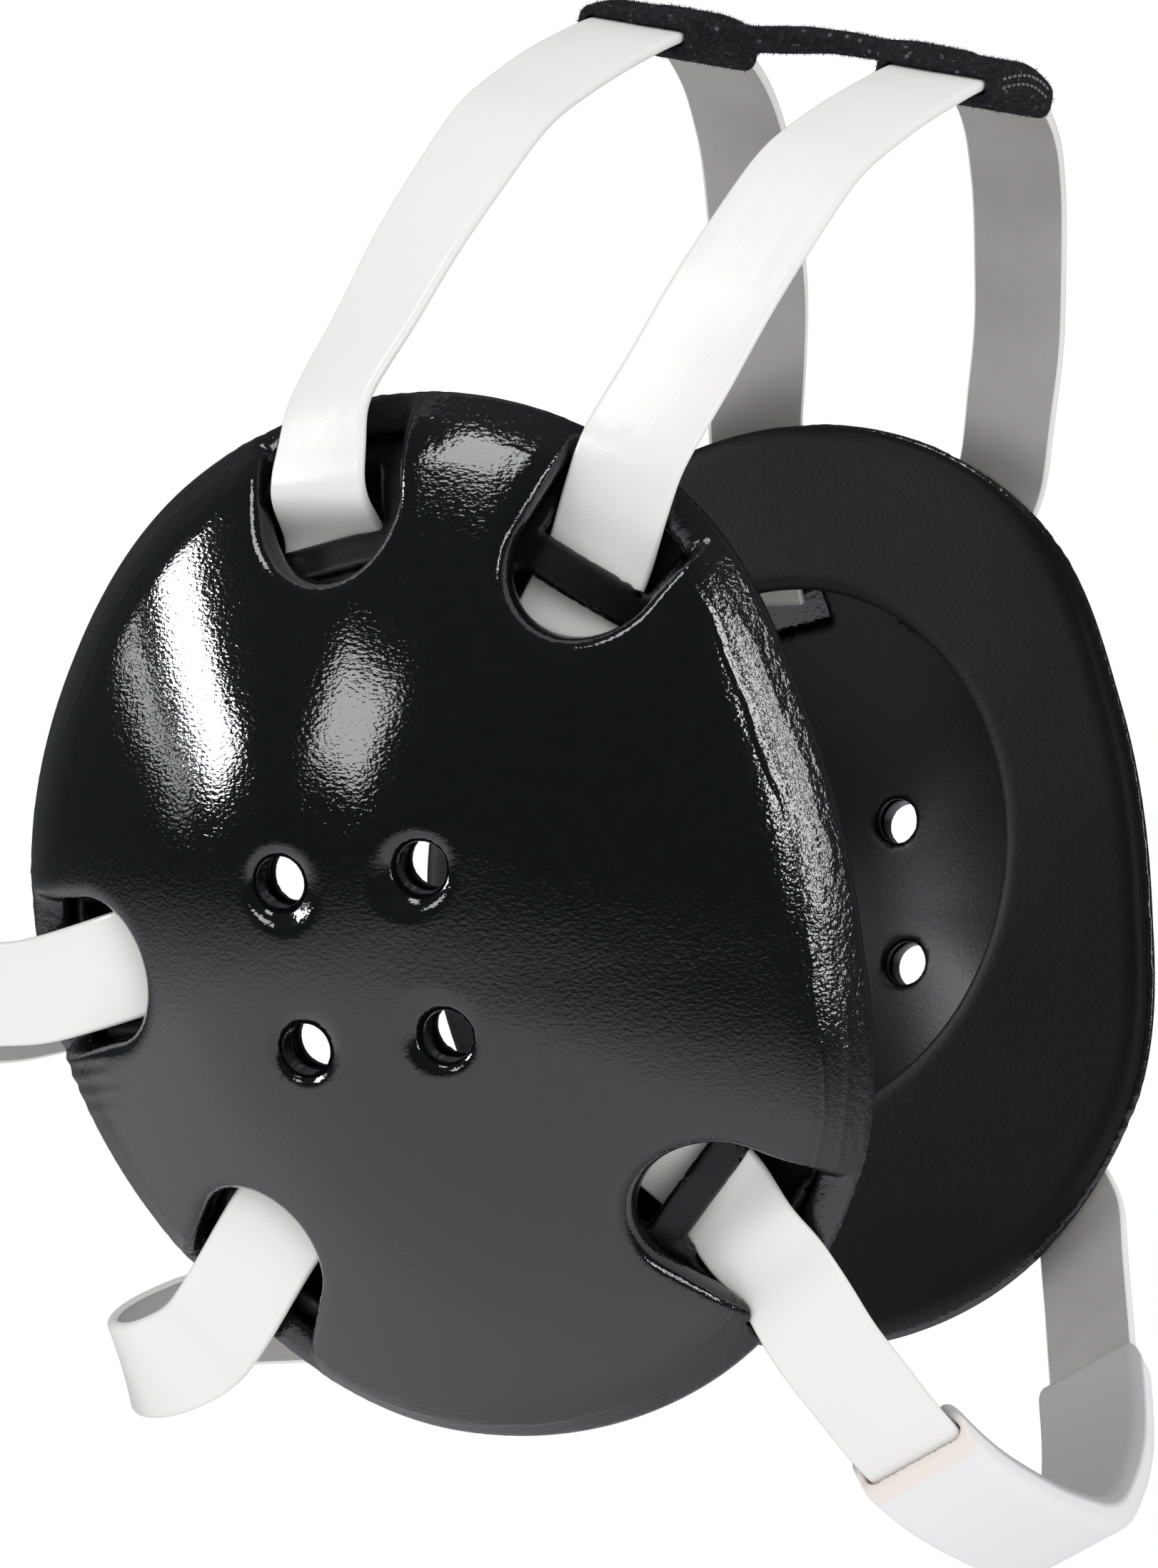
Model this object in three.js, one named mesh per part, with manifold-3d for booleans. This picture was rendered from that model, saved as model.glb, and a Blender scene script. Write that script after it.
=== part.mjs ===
// Wrestling ear guard: two domed ear cups joined over the crown, round the back of
// the head and under the chin by five straps. Millimetres, +Z up, +X to the wearer's
// left, the wearer faces -Y. The origin is where the crown pad sits on the head.
import * as THREE from 'three';
import { mergeVertices } from 'three/addons/utils/BufferGeometryUtils.js';
import Module from 'manifold-3d';

const wasm = await Module();
wasm.setup();

// Ear cup: outline, side wall and dome
const CUP_HEIGHT = 146;
const CUP_SPACING = 145.8;
const CUP_TOE_DEG = 2;
const CUP_TILT_DEG = 8;
const CUP_DEPTH = 36;
const SIDE_WALL_HEIGHT = 9;
const SIDE_WALL_INSET = 5.5;
const SHELL_THICKNESS = 6.5;

// Liner dome inside the shell, and the pad ring against the head with its ear opening
const LINER_THICKNESS = 2.5;
const PAD_RING_BELOW_RIM = 4;
const PAD_EDGE_INSET = 1.2;
const PAD_EDGE_ROUND = 1.6;
const EAR_OPENING_WIDTH = 72;
const EAR_OPENING_HEIGHT = 82;
const EAR_OPENING_RISE = 4;

// Strap notches, their slots and the bar between them
const NOTCH_WIDTH = 20;
const NOTCH_DEPTH = 25;
const NOTCH_MOUTH_FLARE = 2;
const MOUTH_BRIDGE_HEIGHT = 2.6;
const BAR_WIDTH = 4.8;
const BAR_FROM_NOTCH_END = 3.4;
const SLOT_LENGTH = 7.5;
const SLOT_SIDE_ROOM = 0.8;

// Vent holes round the top of the dome
const VENT_SPACING_FORWARD = 20.4;
const VENT_SPACING_UP = 22.8;
const VENT_TURN_DEG = 8;
const VENT_DIAMETER = 7;
const VENT_LIP_DIAMETER = 9.4;
const VENT_LIP_DEPTH = 2.4;

// Straps
const STRAP_WIDTH = 15;
const STRAP_THICKNESS = 1.7;
const STRAP_CHAMFER = 0.45;
const STRAP_TAIL = 6.5;
const STRAP_FLOOR_ROOM = 0.4;
const DIVE_UNDER_BAR = 1;
const DIVE_PAST_NOTCH = 3;
const DIVE_OVER_BAR = 1.5;

// Where each strap crosses the middle plane, measured from the cups' centres
const CROWN_RISE = 127.4;
const CROWN_DROP_FORWARD = 6.6;
const CROWN_STRAP_SPACING = 45.6;
const CROWN_REAR_FORWARD = 3.4;
const CROWN_TIP_DEG = 9;
const NECK_BACK = 97;
const NECK_DROP = 21.6;
const NAPE_BACK = 66;
const NAPE_DROP = 66.5;
const CHIN_FORWARD = 70.3;
const CHIN_DROP = 89;
const CHIN_TURN_DEG = 31;

// Crown pad and chin cover
const CROWN_PAD_WIDTH = 30;
const CROWN_WALL = 1.5;
const CROWN_SIDE_WALL = 1.2;
const CROWN_WAIST_WIDTH = 16;
const CROWN_WAIST_THICKNESS = 3;
const CROWN_WAIST_ARCH = 1.4;
const CROWN_WAIST_CHAMFER = 0.8;
const CROWN_PAD_CHAMFER = 1.2;
const COVER_SPAN = 92;
const COVER_WALL = 1.6;
const COVER_SIDE_WALL = 1.1;
const COVER_CHAMFER = 1.1;

// Clearance between pieces that touch on the real thing
const GAP = 0.3;

// Mesh fineness
const RIM_STEPS = 36;
const DOME_RINGS = 5;
const LINER_RINGS = 3;
const VENT_SIDES = 10;
const NOTCH_ARC_STEPS = 7;
const STATION_SPACING = 10;

const rad = THREE.MathUtils.degToRad;
const half = (size) => size / 2;

// Cup outline, every 30 degrees from the front towards the top, as shares of half its height
const OUTLINE_SHARES = [0.826, 0.836, 0.960, 1.0, 0.955, 0.873, 0.842, 0.844, 0.896, 0.999, 1.016, 0.941];

// Notches: bearing of the mouth, direction of the notch and heading of the strap through
// it, all in degrees from the front towards the top; depth is a share of NOTCH_DEPTH.
// dive is where the strap goes down through a slot: before the bar or after it.
const NOTCHES = {
  front_top: { bearing: 63, axis: 60, heading: 71, depth: 0.92, dive: 'before_bar' },
  rear_top: { bearing: 101.4, axis: 106, heading: 101, depth: 0.93, dive: 'before_bar' },
  upper_rear: { bearing: 190.3, axis: 195, heading: 200, depth: 1.04, dive: 'after_bar' },
  lower_rear: { bearing: 243, axis: 240, heading: 232, depth: 1.04, dive: 'after_bar' },
  chin: { bearing: 320.8, axis: 324, heading: 306, depth: 1.0, dive: 'before_bar' },
};

// Routes from the rim of the right cup (0) to the middle plane (1): shares of the way
// across, along and up between those two points, and how far the strap has turned
const TOP_ROUTE = [
  { across: 0.10, along: 0.20, up: 0.212, turned: 0.2 },
  { across: 0.18, along: 0.35, up: 0.380, turned: 0.4 },
  { across: 0.29, along: 0.49, up: 0.550, turned: 0.6 },
  { across: 0.42, along: 0.64, up: 0.722, turned: 0.8 },
  { across: 0.515, along: 0.74, up: 0.798, turned: 0.9 },
  { across: 0.616, along: 0.84, up: 0.865, turned: 1 },
  { across: 0.725, along: 0.92, up: 0.922, turned: 1 },
  { across: 0.85, along: 0.97, up: 0.973, turned: 1 },
  { across: 1, along: 1, up: 1, turned: 1 },
];
const NECK_ROUTE = [
  { across: 0.068, along: 0.24, up: 0.12, turned: 0.2 },
  { across: 0.174, along: 0.476, up: 0.3, turned: 0.4 },
  { across: 0.334, along: 0.70, up: 0.5, turned: 0.7 },
  { across: 0.52, along: 0.856, up: 0.7, turned: 0.9 },
  { across: 0.76, along: 0.969, up: 0.9, turned: 1 },
  { across: 1, along: 1, up: 1, turned: 1 },
];
const NAPE_ROUTE = [
  { across: 0.104, along: 0.203, up: 0.60, turned: 0.1 },
  { across: 0.207, along: 0.478, up: 1.05, turned: 0.25 },
  { across: 0.3245, along: 0.71, up: 1.22, turned: 0.5 },
  { across: 0.50, along: 0.884, up: 1.2, turned: 0.8 },
  { across: 0.736, along: 0.98, up: 1.09, turned: 1 },
  { across: 1, along: 1, up: 1, turned: 1 },
];
const CHIN_ROUTE = [
  { across: 0.081, along: 0.14, up: 0.183, turned: 0.2 },
  { across: 0.184, along: 0.286, up: 0.35, turned: 0.5 },
  { across: 0.309, along: 0.46, up: 0.545, turned: 0.8 },
  { across: 0.45, along: 0.645, up: 0.715, turned: 1 },
  { across: 0.60, along: 0.80, up: 0.835, turned: 1 },
  { across: 0.78, along: 0.92, up: 0.935, turned: 1 },
  { across: 1, along: 1, up: 1, turned: 1 },
];

// Crown pad's waist from the rear strap (0) to the front one (1): rise as a share of
// CROWN_WAIST_ARCH, and flare from the waist's width (0) to the pad's (1)
const CROWN_WAIST = [
  { along: 0.04, rise: 0, flare: 0.8 },
  { along: 0.19, rise: -0.2, flare: 0.5 },
  { along: 0.33, rise: 0.1, flare: 0.1 },
  { along: 0.5, rise: 0.9, flare: 0 },
  { along: 0.67, rise: 1, flare: 0.1 },
  { along: 0.81, rise: 0.6, flare: 0.5 },
  { along: 0.96, rise: 0.2, flare: 0.8 },
];

function direction(degrees) {
  return new THREE.Vector2(Math.cos(rad(degrees)), Math.sin(rad(degrees)));
}

// Radius of the cup's outline at an angle, by a closed cubic through the table
function outlineRadius(angle) {
  const count = OUTLINE_SHARES.length;
  const turn = 2 * Math.PI;
  const place = ((((angle % turn) + turn) % turn) / turn) * count;
  const row = Math.floor(place);
  const t = place - row;
  const [a, b, c, d] = [-1, 0, 1, 2].map((k) => OUTLINE_SHARES[(row + k + count) % count]);
  const slopeIn = half(c - a);
  const slopeOut = half(d - b);
  const t2 = t * t;
  const t3 = t2 * t;
  const share = (2 * t3 - 3 * t2 + 1) * b + (t3 - 2 * t2 + t) * slopeIn
    + (3 * t2 - 2 * t3) * c + (t3 - t2) * slopeOut;
  return share * half(CUP_HEIGHT);
}

// A dome surface of the cup: its edge lies inset from the outline
function domeSurface(inset, edgeHeight, apexHeight) {
  return {
    inset,
    radius: (angle, share) => (outlineRadius(angle) - inset) * share,
    height: (share) => edgeHeight + (apexHeight - edgeHeight) * (1 - share * share),
    heightAt(x, y) {
      const share = Math.hypot(x, y) / (outlineRadius(Math.atan2(y, x)) - inset);
      return this.height(Math.min(share, 1));
    },
  };
}

// The dome meets the side wall on a crease; the surfaces below it are offsets of it
const edgeSlope = Math.atan(2 * (CUP_DEPTH - SIDE_WALL_HEIGHT) / (half(CUP_HEIGHT) * 0.9 - SIDE_WALL_INSET));
function offsetDome(depth) {
  return domeSurface(
    SIDE_WALL_INSET + depth * Math.sin(edgeSlope),
    SIDE_WALL_HEIGHT - depth * Math.cos(edgeSlope),
    CUP_DEPTH - depth,
  );
}
const shellOuter = offsetDome(0);
const shellInner = offsetDome(SHELL_THICKNESS);
const linerOuter = offsetDome(SHELL_THICKNESS + GAP);
const linerInner = offsetDome(SHELL_THICKNESS + GAP + LINER_THICKNESS);

// Joins rings of one length, with a point at each end, into a closed geometry
function loftRings(firstPoint, rings, lastPoint) {
  const count = rings[0].length;
  const positions = [...firstPoint];
  rings.forEach((ring) => ring.forEach((point) => positions.push(...point)));
  positions.push(...lastPoint);
  const last = 1 + rings.length * count;
  const at = (ring, k) => 1 + ring * count + (k % count);
  const index = [];
  for (let k = 0; k < count; k += 1) {
    index.push(0, at(0, k), at(0, k + 1));
    for (let ring = 0; ring + 1 < rings.length; ring += 1) {
      index.push(at(ring, k), at(ring + 1, k), at(ring + 1, k + 1));
      index.push(at(ring, k), at(ring + 1, k + 1), at(ring, k + 1));
    }
    index.push(at(rings.length - 1, k), last, at(rings.length - 1, k + 1));
  }
  const geometry = new THREE.BufferGeometry();
  geometry.setAttribute('position', new THREE.Float32BufferAttribute(positions, 3));
  geometry.setIndex(index);
  return geometry;
}

function toManifold(geometry) {
  const bare = geometry.clone();
  bare.deleteAttribute('normal');
  bare.deleteAttribute('uv');
  const merged = mergeVertices(bare, 1e-4);
  return new wasm.Manifold(new wasm.Mesh({
    numProp: 3,
    vertProperties: new Float32Array(merged.attributes.position.array),
    triVerts: new Uint32Array(merged.index.array),
  }));
}

function fromManifold(solid) {
  const mesh = solid.getMesh();
  const geometry = new THREE.BufferGeometry();
  geometry.setAttribute('position', new THREE.Float32BufferAttribute(mesh.vertProperties, 3));
  geometry.setIndex([...mesh.triVerts]);
  geometry.computeVertexNormals();
  return geometry;
}

function joined(solids) {
  return solids.reduce((whole, piece) => whole.add(piece));
}

function cutBy(solid, cutters) {
  return cutters.reduce((rest, cutter) => rest.subtract(cutter), solid);
}

// A cup layer: each profile entry gives radius and height at an angle round the cup
function cupLayer(topHeight, profile, bottomHeight) {
  const angles = Array.from({ length: RIM_STEPS }, (_, k) => (2 * Math.PI * k) / RIM_STEPS);
  const rings = profile.map((entry) => angles.map((angle) => {
    const [radius, height] = entry(angle);
    return [radius * Math.cos(angle), radius * Math.sin(angle), height];
  }));
  return toManifold(loftRings([0, 0, topHeight], rings, [0, 0, bottomHeight]));
}

function domeRings(dome, count) {
  return Array.from({ length: count }, (_, k) => {
    const share = Math.sin((half(Math.PI) * (k + 1)) / count);
    return (angle) => [dome.radius(angle, share), dome.height(share)];
  });
}

function inset(distance, height) {
  return (angle) => [outlineRadius(angle) - distance, height];
}

// How far in from the outline the shell's wall reaches where it stands on the pad ring
const wallLean = Math.atan2(SIDE_WALL_INSET, SIDE_WALL_HEIGHT);
const rimInset = SHELL_THICKNESS * Math.cos(wallLean);
const linerFoot = LINER_THICKNESS * Math.cos(wallLean);

function shellSolid() {
  return cupLayer(CUP_DEPTH, [
    ...domeRings(shellOuter, DOME_RINGS),
    inset(0, 0),
    inset(rimInset, 0),
    ...domeRings(shellInner, LINER_RINGS).reverse(),
  ], CUP_DEPTH - SHELL_THICKNESS);
}

function earOpening(grow, height) {
  return (angle) => {
    const a = half(EAR_OPENING_WIDTH) + grow;
    const b = half(EAR_OPENING_HEIGHT) + grow;
    const s = Math.sin(angle) / b;
    const c = Math.cos(angle) / a;
    const rise = EAR_OPENING_RISE / b;
    const q = s * s + c * c;
    const shift = s * rise;
    return [(shift + Math.sqrt(shift * shift - q * (rise * rise - 1))) / q, height];
  };
}

// The liner's foot stands on the pad ring, inside the shell's wall
function linerSolid() {
  return cupLayer(linerOuter.height(0), [
    ...domeRings(linerOuter, LINER_RINGS),
    inset(rimInset + GAP, 0),
    inset(rimInset + GAP + linerFoot, 0),
    ...domeRings(linerInner, LINER_RINGS).reverse(),
  ], linerInner.height(0));
}

function padRingSolid() {
  const bottom = -PAD_RING_BELOW_RIM;
  const outer = cupLayer(-GAP, [
    inset(PAD_EDGE_INSET + PAD_EDGE_ROUND, -GAP),
    inset(PAD_EDGE_INSET, -GAP - half(PAD_EDGE_ROUND)),
    inset(PAD_EDGE_INSET, bottom + PAD_EDGE_ROUND),
    inset(PAD_EDGE_INSET + PAD_EDGE_ROUND, bottom),
  ], bottom);
  const opening = cupLayer(PAD_EDGE_ROUND, [
    earOpening(0, PAD_EDGE_ROUND),
    earOpening(0, bottom + PAD_EDGE_ROUND),
    earOpening(PAD_EDGE_ROUND, bottom),
    earOpening(PAD_EDGE_ROUND, bottom - PAD_EDGE_ROUND),
  ], bottom - PAD_EDGE_ROUND);
  return outer.subtract(opening);
}

// A notch's own frame: its mouth on the outline, outward along its direction
function notchFrame(notch) {
  const mouth = direction(notch.bearing).multiplyScalar(outlineRadius(rad(notch.bearing)));
  const outward = direction(notch.axis);
  const depth = notch.depth * NOTCH_DEPTH;
  const barInner = depth - BAR_FROM_NOTCH_END;
  const barOuter = barInner - BAR_WIDTH;
  const pivot = mouth.clone().addScaledVector(outward, -half(barInner + barOuter));
  return { mouth, outward, depth, barInner, barOuter, pivot };
}

function prism(shape, frame, bottom, top) {
  const geometry = new THREE.ExtrudeGeometry(shape, { depth: top - bottom, bevelEnabled: false, curveSegments: NOTCH_ARC_STEPS });
  geometry.rotateZ(Math.atan2(frame.outward.y, frame.outward.x));
  geometry.translate(frame.mouth.x, frame.mouth.y, bottom);
  return toManifold(geometry);
}

// The notch is U-shaped in plan and open at the rim
function notchCutter(notch) {
  const frame = notchFrame(notch);
  const beyond = NOTCH_WIDTH;
  const end = half(NOTCH_WIDTH);
  const mouth = end + half(NOTCH_MOUTH_FLARE);
  const shape = new THREE.Shape();
  shape.moveTo(beyond, -mouth);
  shape.lineTo(beyond, mouth);
  shape.lineTo(0, mouth);
  shape.lineTo(-frame.depth + end, end);
  shape.absarc(-frame.depth + end, 0, end, half(Math.PI), 1.5 * Math.PI, false);
  shape.lineTo(0, -mouth);
  return prism(shape, frame, MOUTH_BRIDGE_HEIGHT, 2 * CUP_DEPTH);
}

// One slot on each side of the bar, down through the liner
function slotCutters(notch) {
  const frame = notchFrame(notch);
  const side = half(STRAP_WIDTH) + SLOT_SIDE_ROOM;
  const slot = (from, to) => {
    const shape = new THREE.Shape();
    shape.moveTo(-from, -side);
    shape.lineTo(-from, side);
    shape.lineTo(-to, side);
    shape.lineTo(-to, -side);
    return prism(shape, frame, -half(GAP), CUP_DEPTH);
  };
  return [
    slot(frame.barOuter - SLOT_LENGTH, frame.barOuter),
    slot(frame.barInner, frame.barInner + SLOT_LENGTH),
  ];
}

function ventPlaces() {
  const turned = rad(VENT_TURN_DEG);
  const origin = new THREE.Vector2();
  return [[-1, 1], [1, 1], [1, -1], [-1, -1]].map(([f, u]) => new THREE.Vector2(
    f * half(VENT_SPACING_FORWARD),
    u * half(VENT_SPACING_UP),
  ).rotateAround(origin, turned));
}

// Vent cutters are straight bores with a flared lip at the dome's surface
function ventCutters(lip) {
  return ventPlaces().map((place) => {
    const surface = shellOuter.heightAt(place.x, place.y);
    const profile = [
      [0, 0],
      [half(VENT_DIAMETER), 0],
      [half(VENT_DIAMETER), surface - VENT_LIP_DEPTH],
      [half(lip ? VENT_LIP_DIAMETER : VENT_DIAMETER), surface],
      [half(lip ? VENT_LIP_DIAMETER : VENT_DIAMETER), 2 * CUP_DEPTH],
      [0, 2 * CUP_DEPTH],
    ].map(([r, h]) => new THREE.Vector2(r, h));
    const geometry = new THREE.LatheGeometry(profile, VENT_SIDES);
    geometry.rotateX(half(Math.PI));
    geometry.translate(place.x, place.y, 0);
    return toManifold(geometry);
  });
}

// Cup placement: +x forward, +y up and +z outward for the right cup
function cupMatrix() {
  const toe = rad(CUP_TOE_DEG);
  const tilt = rad(CUP_TILT_DEG);
  const outward = new THREE.Vector3(-Math.cos(toe) * Math.cos(tilt), -Math.sin(toe) * Math.cos(tilt), -Math.sin(tilt));
  const forward = new THREE.Vector3(Math.sin(toe), -Math.cos(toe), 0);
  const up = new THREE.Vector3().crossVectors(outward, forward);
  return new THREE.Matrix4().makeBasis(forward, up, outward).setPosition(-half(CUP_SPACING), 0, 0);
}
const rightCup = cupMatrix();
const rightCupInverse = rightCup.clone().invert();

// Stations of a strap inside its notch, from its tail to the rim, in the cup's frame
function notchStations(notch) {
  const frame = notchFrame(notch);
  const heading = direction(notch.heading);
  const lift = half(STRAP_THICKNESS) + GAP + STRAP_FLOOR_ROOM;
  const rimHeight = MOUTH_BRIDGE_HEIGHT + lift;
  const cosSlope = Math.cos(edgeSlope);
  const barMiddle = half(frame.barInner + frame.barOuter);
  const before = notch.dive === 'before_bar';
  const diveEnd = before ? frame.barOuter + DIVE_UNDER_BAR : frame.depth + DIVE_PAST_NOTCH;
  const diveStart = before ? frame.barOuter - SLOT_LENGTH : frame.barInner - DIVE_OVER_BAR;
  const point = (depth) => frame.pivot.clone().addScaledVector(heading, barMiddle - depth);
  const station = (depth, height) => {
    const place = point(depth);
    return {
      place: new THREE.Vector3(place.x, place.y, height(place)),
      width: new THREE.Vector3(-heading.y, heading.x, 0),
    };
  };
  const below = (p) => linerInner.heightAt(p.x, p.y) - lift / cosSlope;
  const above = (p) => Math.max(linerOuter.heightAt(p.x, p.y) + lift / cosSlope, rimHeight);
  const tail = diveEnd + STRAP_TAIL;
  return [
    station(tail + STRAP_TAIL, below),
    station(tail, below),
    station(diveEnd, below),
    ...(before ? [] : [station(half(diveEnd + diveStart), (p) => half(below(p) + above(p)))]),
    station(diveStart, above),
    ...(before ? [] : [station(half(diveStart), above)]),
    station(0, () => rimHeight),
  ];
}

// All stations of one half of a strap, in the head's frame, tail to middle plane
function halfRoute(notch, route, middle, middleWidth, widthSign) {
  const inNotch = notchStations(notch).map(({ place, width }) => ({
    place: place.applyMatrix4(rightCup),
    width: width.transformDirection(rightCup).multiplyScalar(widthSign),
  }));
  const rim = inNotch[inNotch.length - 1];
  const free = route.map((row) => ({
    place: new THREE.Vector3(
      THREE.MathUtils.lerp(rim.place.x, middle.x, row.across),
      THREE.MathUtils.lerp(rim.place.y, middle.y, row.along),
      THREE.MathUtils.lerp(rim.place.z, middle.z, row.up),
    ),
    width: rim.width.clone().lerp(middleWidth, row.turned).normalize(),
  }));
  return { inNotch, free };
}

const mirrorX = (v) => new THREE.Vector3(-v.x, v.y, v.z);

// Smooth stations through the chosen ones, with square width and thickness directions
function smoothStations(stations) {
  const curve = new THREE.CatmullRomCurve3(stations.map((s) => s.place), false, 'centripetal');
  const spans = stations.length - 1;
  const smooth = [];
  const addStation = (spot) => {
    const row = Math.min(Math.floor(spot), spans - 1);
    const tangent = curve.getTangent(spot / spans);
    const width = stations[row].width.clone().lerp(stations[row + 1].width, spot - row);
    width.addScaledVector(tangent, -width.dot(tangent)).normalize();
    const outward = new THREE.Vector3().crossVectors(tangent, width).normalize();
    smooth.push({ place: curve.getPoint(spot / spans), width, outward });
  };
  for (let row = 0; row < spans; row += 1) {
    const length = stations[row].place.distanceTo(stations[row + 1].place);
    const steps = Math.max(1, Math.round(length / STATION_SPACING));
    for (let k = 0; k < steps; k += 1) addStation(row + k / steps);
  }
  addStation(spans);
  return smooth;
}

// A flat band of rounded-off section along stations
function band(stations, size) {
  const rings = stations.map(({ place, width, outward }, k) => {
    const { across, through, chamfer } = typeof size === 'function' ? size(k) : size;
    const a = half(across);
    const b = half(through);
    const section = [
      [a - chamfer, -b], [-a + chamfer, -b], [-a, -b + chamfer], [-a, b - chamfer],
      [-a + chamfer, b], [a - chamfer, b], [a, b - chamfer], [a, -b + chamfer],
    ];
    return section.map(([x, y]) => place.clone().addScaledVector(width, x).addScaledVector(outward, y).toArray());
  });
  const first = stations[0].place.toArray();
  const last = stations[stations.length - 1].place.toArray();
  const solid = toManifold(loftRings(first, rings, last));
  return solid;
}

const STRAP_SIZE = { across: STRAP_WIDTH, through: STRAP_THICKNESS, chamfer: STRAP_CHAMFER };
const STRAP_ROOM = { across: STRAP_WIDTH + 2 * GAP, through: STRAP_THICKNESS + 2 * GAP, chamfer: STRAP_CHAMFER };

const crownFront = new THREE.Vector3(
  0,
  -CROWN_REAR_FORWARD - CROWN_STRAP_SPACING,
  CROWN_RISE - CROWN_DROP_FORWARD,
);
const crownRear = new THREE.Vector3(0, -CROWN_REAR_FORWARD, CROWN_RISE);
const crownWidth = new THREE.Vector3(0, -Math.cos(rad(CROWN_TIP_DEG)), -Math.sin(rad(CROWN_TIP_DEG)));
const uprightWidth = new THREE.Vector3(0, 0, 1);
const chinWidth = new THREE.Vector3(0, -Math.cos(rad(CHIN_TURN_DEG)), Math.sin(rad(CHIN_TURN_DEG)));

const ROUTES = {
  front_top: halfRoute(NOTCHES.front_top, TOP_ROUTE, crownFront, crownWidth, -1),
  rear_top: halfRoute(NOTCHES.rear_top, TOP_ROUTE, crownRear, crownWidth, -1),
  upper_rear: halfRoute(
    NOTCHES.upper_rear, NECK_ROUTE, new THREE.Vector3(0, NECK_BACK, -NECK_DROP), uprightWidth, -1,
  ),
  lower_rear: halfRoute(
    NOTCHES.lower_rear, NAPE_ROUTE, new THREE.Vector3(0, NAPE_BACK, -NAPE_DROP), uprightWidth, -1,
  ),
  chin: halfRoute(
    NOTCHES.chin, CHIN_ROUTE, new THREE.Vector3(0, -CHIN_FORWARD, -CHIN_DROP), chinWidth, 1,
  ),
};

function wholeRoute({ inNotch, free }) {
  const right = [...inNotch, ...free];
  const left = right.slice(0, -1).reverse().map(({ place, width }) => ({
    place: mirrorX(place),
    width: mirrorX(width),
  }));
  return smoothStations([...right, ...left]);
}

const strapStations = Object.fromEntries(
  Object.entries(ROUTES).map(([name, route]) => [name, wholeRoute(route)]),
);

// The room a strap needs in the right cup, in that cup's frame
function strapRoom(name) {
  const rightHalf = strapStations[name].filter(({ place }) => place.x < 0);
  const reach = half(CUP_HEIGHT) + STRAP_WIDTH;
  const near = rightHalf.filter(({ place }) => {
    const local = place.clone().applyMatrix4(rightCupInverse);
    return Math.hypot(local.x, local.y) < reach && Math.abs(local.z) < CUP_DEPTH;
  });
  return band(near, STRAP_ROOM).transform(rightCupInverse.elements);
}

function box(center, size, tilt) {
  const geometry = new THREE.BoxGeometry(size.x, size.y, size.z);
  geometry.rotateX(tilt);
  geometry.translate(center.x, center.y, center.z);
  return toManifold(geometry);
}

// A strap's stations within a reach of the middle plane, with one more at each end
function stationsWithin(name, reach) {
  const stations = strapStations[name];
  const inside = stations.map(({ place }) => Math.abs(place.x) < reach);
  return stations.slice(inside.indexOf(true) - 1, inside.lastIndexOf(true) + 2);
}

// Crown pad: a tunnel round each top strap and a narrow waist between them
function crownPad() {
  const tunnelSize = {
    across: STRAP_WIDTH + 2 * (GAP + CROWN_SIDE_WALL),
    through: STRAP_THICKNESS + 2 * (GAP + CROWN_WALL),
    chamfer: CROWN_PAD_CHAMFER,
  };
  const inPad = (name) => stationsWithin(name, half(CROWN_PAD_WIDTH));
  const trim = box(
    crownFront.clone().add(crownRear).multiplyScalar(0.5),
    new THREE.Vector3(CROWN_PAD_WIDTH, 4 * CROWN_STRAP_SPACING, 2 * CROWN_STRAP_SPACING),
    0,
  );
  const tunnels = ['front_top', 'rear_top'].map((name) => band(inPad(name), tunnelSize).intersect(trim));
  const forward = crownFront.clone().sub(crownRear).normalize();
  const width = new THREE.Vector3(1, 0, 0);
  const outward = new THREE.Vector3().crossVectors(forward, width);
  const waist = CROWN_WAIST.map(({ along, rise }) => ({
    place: crownRear.clone().lerp(crownFront, along).addScaledVector(outward, rise * CROWN_WAIST_ARCH),
    width,
    outward,
  }));
  const waistBand = band(waist, (k) => ({
    across: THREE.MathUtils.lerp(CROWN_WAIST_WIDTH, CROWN_PAD_WIDTH, CROWN_WAIST[k].flare),
    through: CROWN_WAIST_THICKNESS,
    chamfer: CROWN_WAIST_CHAMFER,
  }));
  const rooms = ['front_top', 'rear_top'].map((name) => band(inPad(name), STRAP_ROOM));
  return cutBy(joined([...tunnels, waistBand]), rooms);
}

// Chin cover: a soft sleeve round the lowest part of the chin strap
function chinCover() {
  const covered = stationsWithin('chin', half(COVER_SPAN));
  const outer = band(covered, {
    across: STRAP_WIDTH + 2 * (GAP + COVER_SIDE_WALL),
    through: STRAP_THICKNESS + 2 * (GAP + COVER_WALL),
    chamfer: COVER_CHAMFER,
  });
  const room = band(covered, STRAP_ROOM);
  const trim = box(
    new THREE.Vector3(0, -CHIN_FORWARD, -CHIN_DROP),
    new THREE.Vector3(COVER_SPAN, 4 * STRAP_WIDTH, 4 * STRAP_WIDTH),
    0,
  );
  return cutBy(outer, [room]).intersect(trim);
}

function material(color, roughness) {
  return new THREE.MeshStandardMaterial({ color, roughness, metalness: 0 });
}

function piece(name, geometry, finish) {
  const mesh = new THREE.Mesh(geometry, finish);
  mesh.name = name;
  return mesh;
}

function mirroredGeometry(geometry) {
  const copy = geometry.clone();
  copy.scale(-1, 1, 1);
  const index = copy.index.array;
  for (let k = 0; k < index.length; k += 3) {
    const swap = index[k];
    index[k] = index[k + 1];
    index[k + 1] = swap;
  }
  copy.computeVertexNormals();
  return copy;
}

const guard = new THREE.Group();

// The guard is drawn round the cups' centres, then set on the crown pad's underside
const crownMiddle = crownFront.clone().add(crownRear).multiplyScalar(0.5);
guard.position.set(
  0,
  -crownMiddle.y,
  -(crownMiddle.z + CROWN_WAIST_ARCH - half(CROWN_WAIST_THICKNESS)),
);

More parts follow.
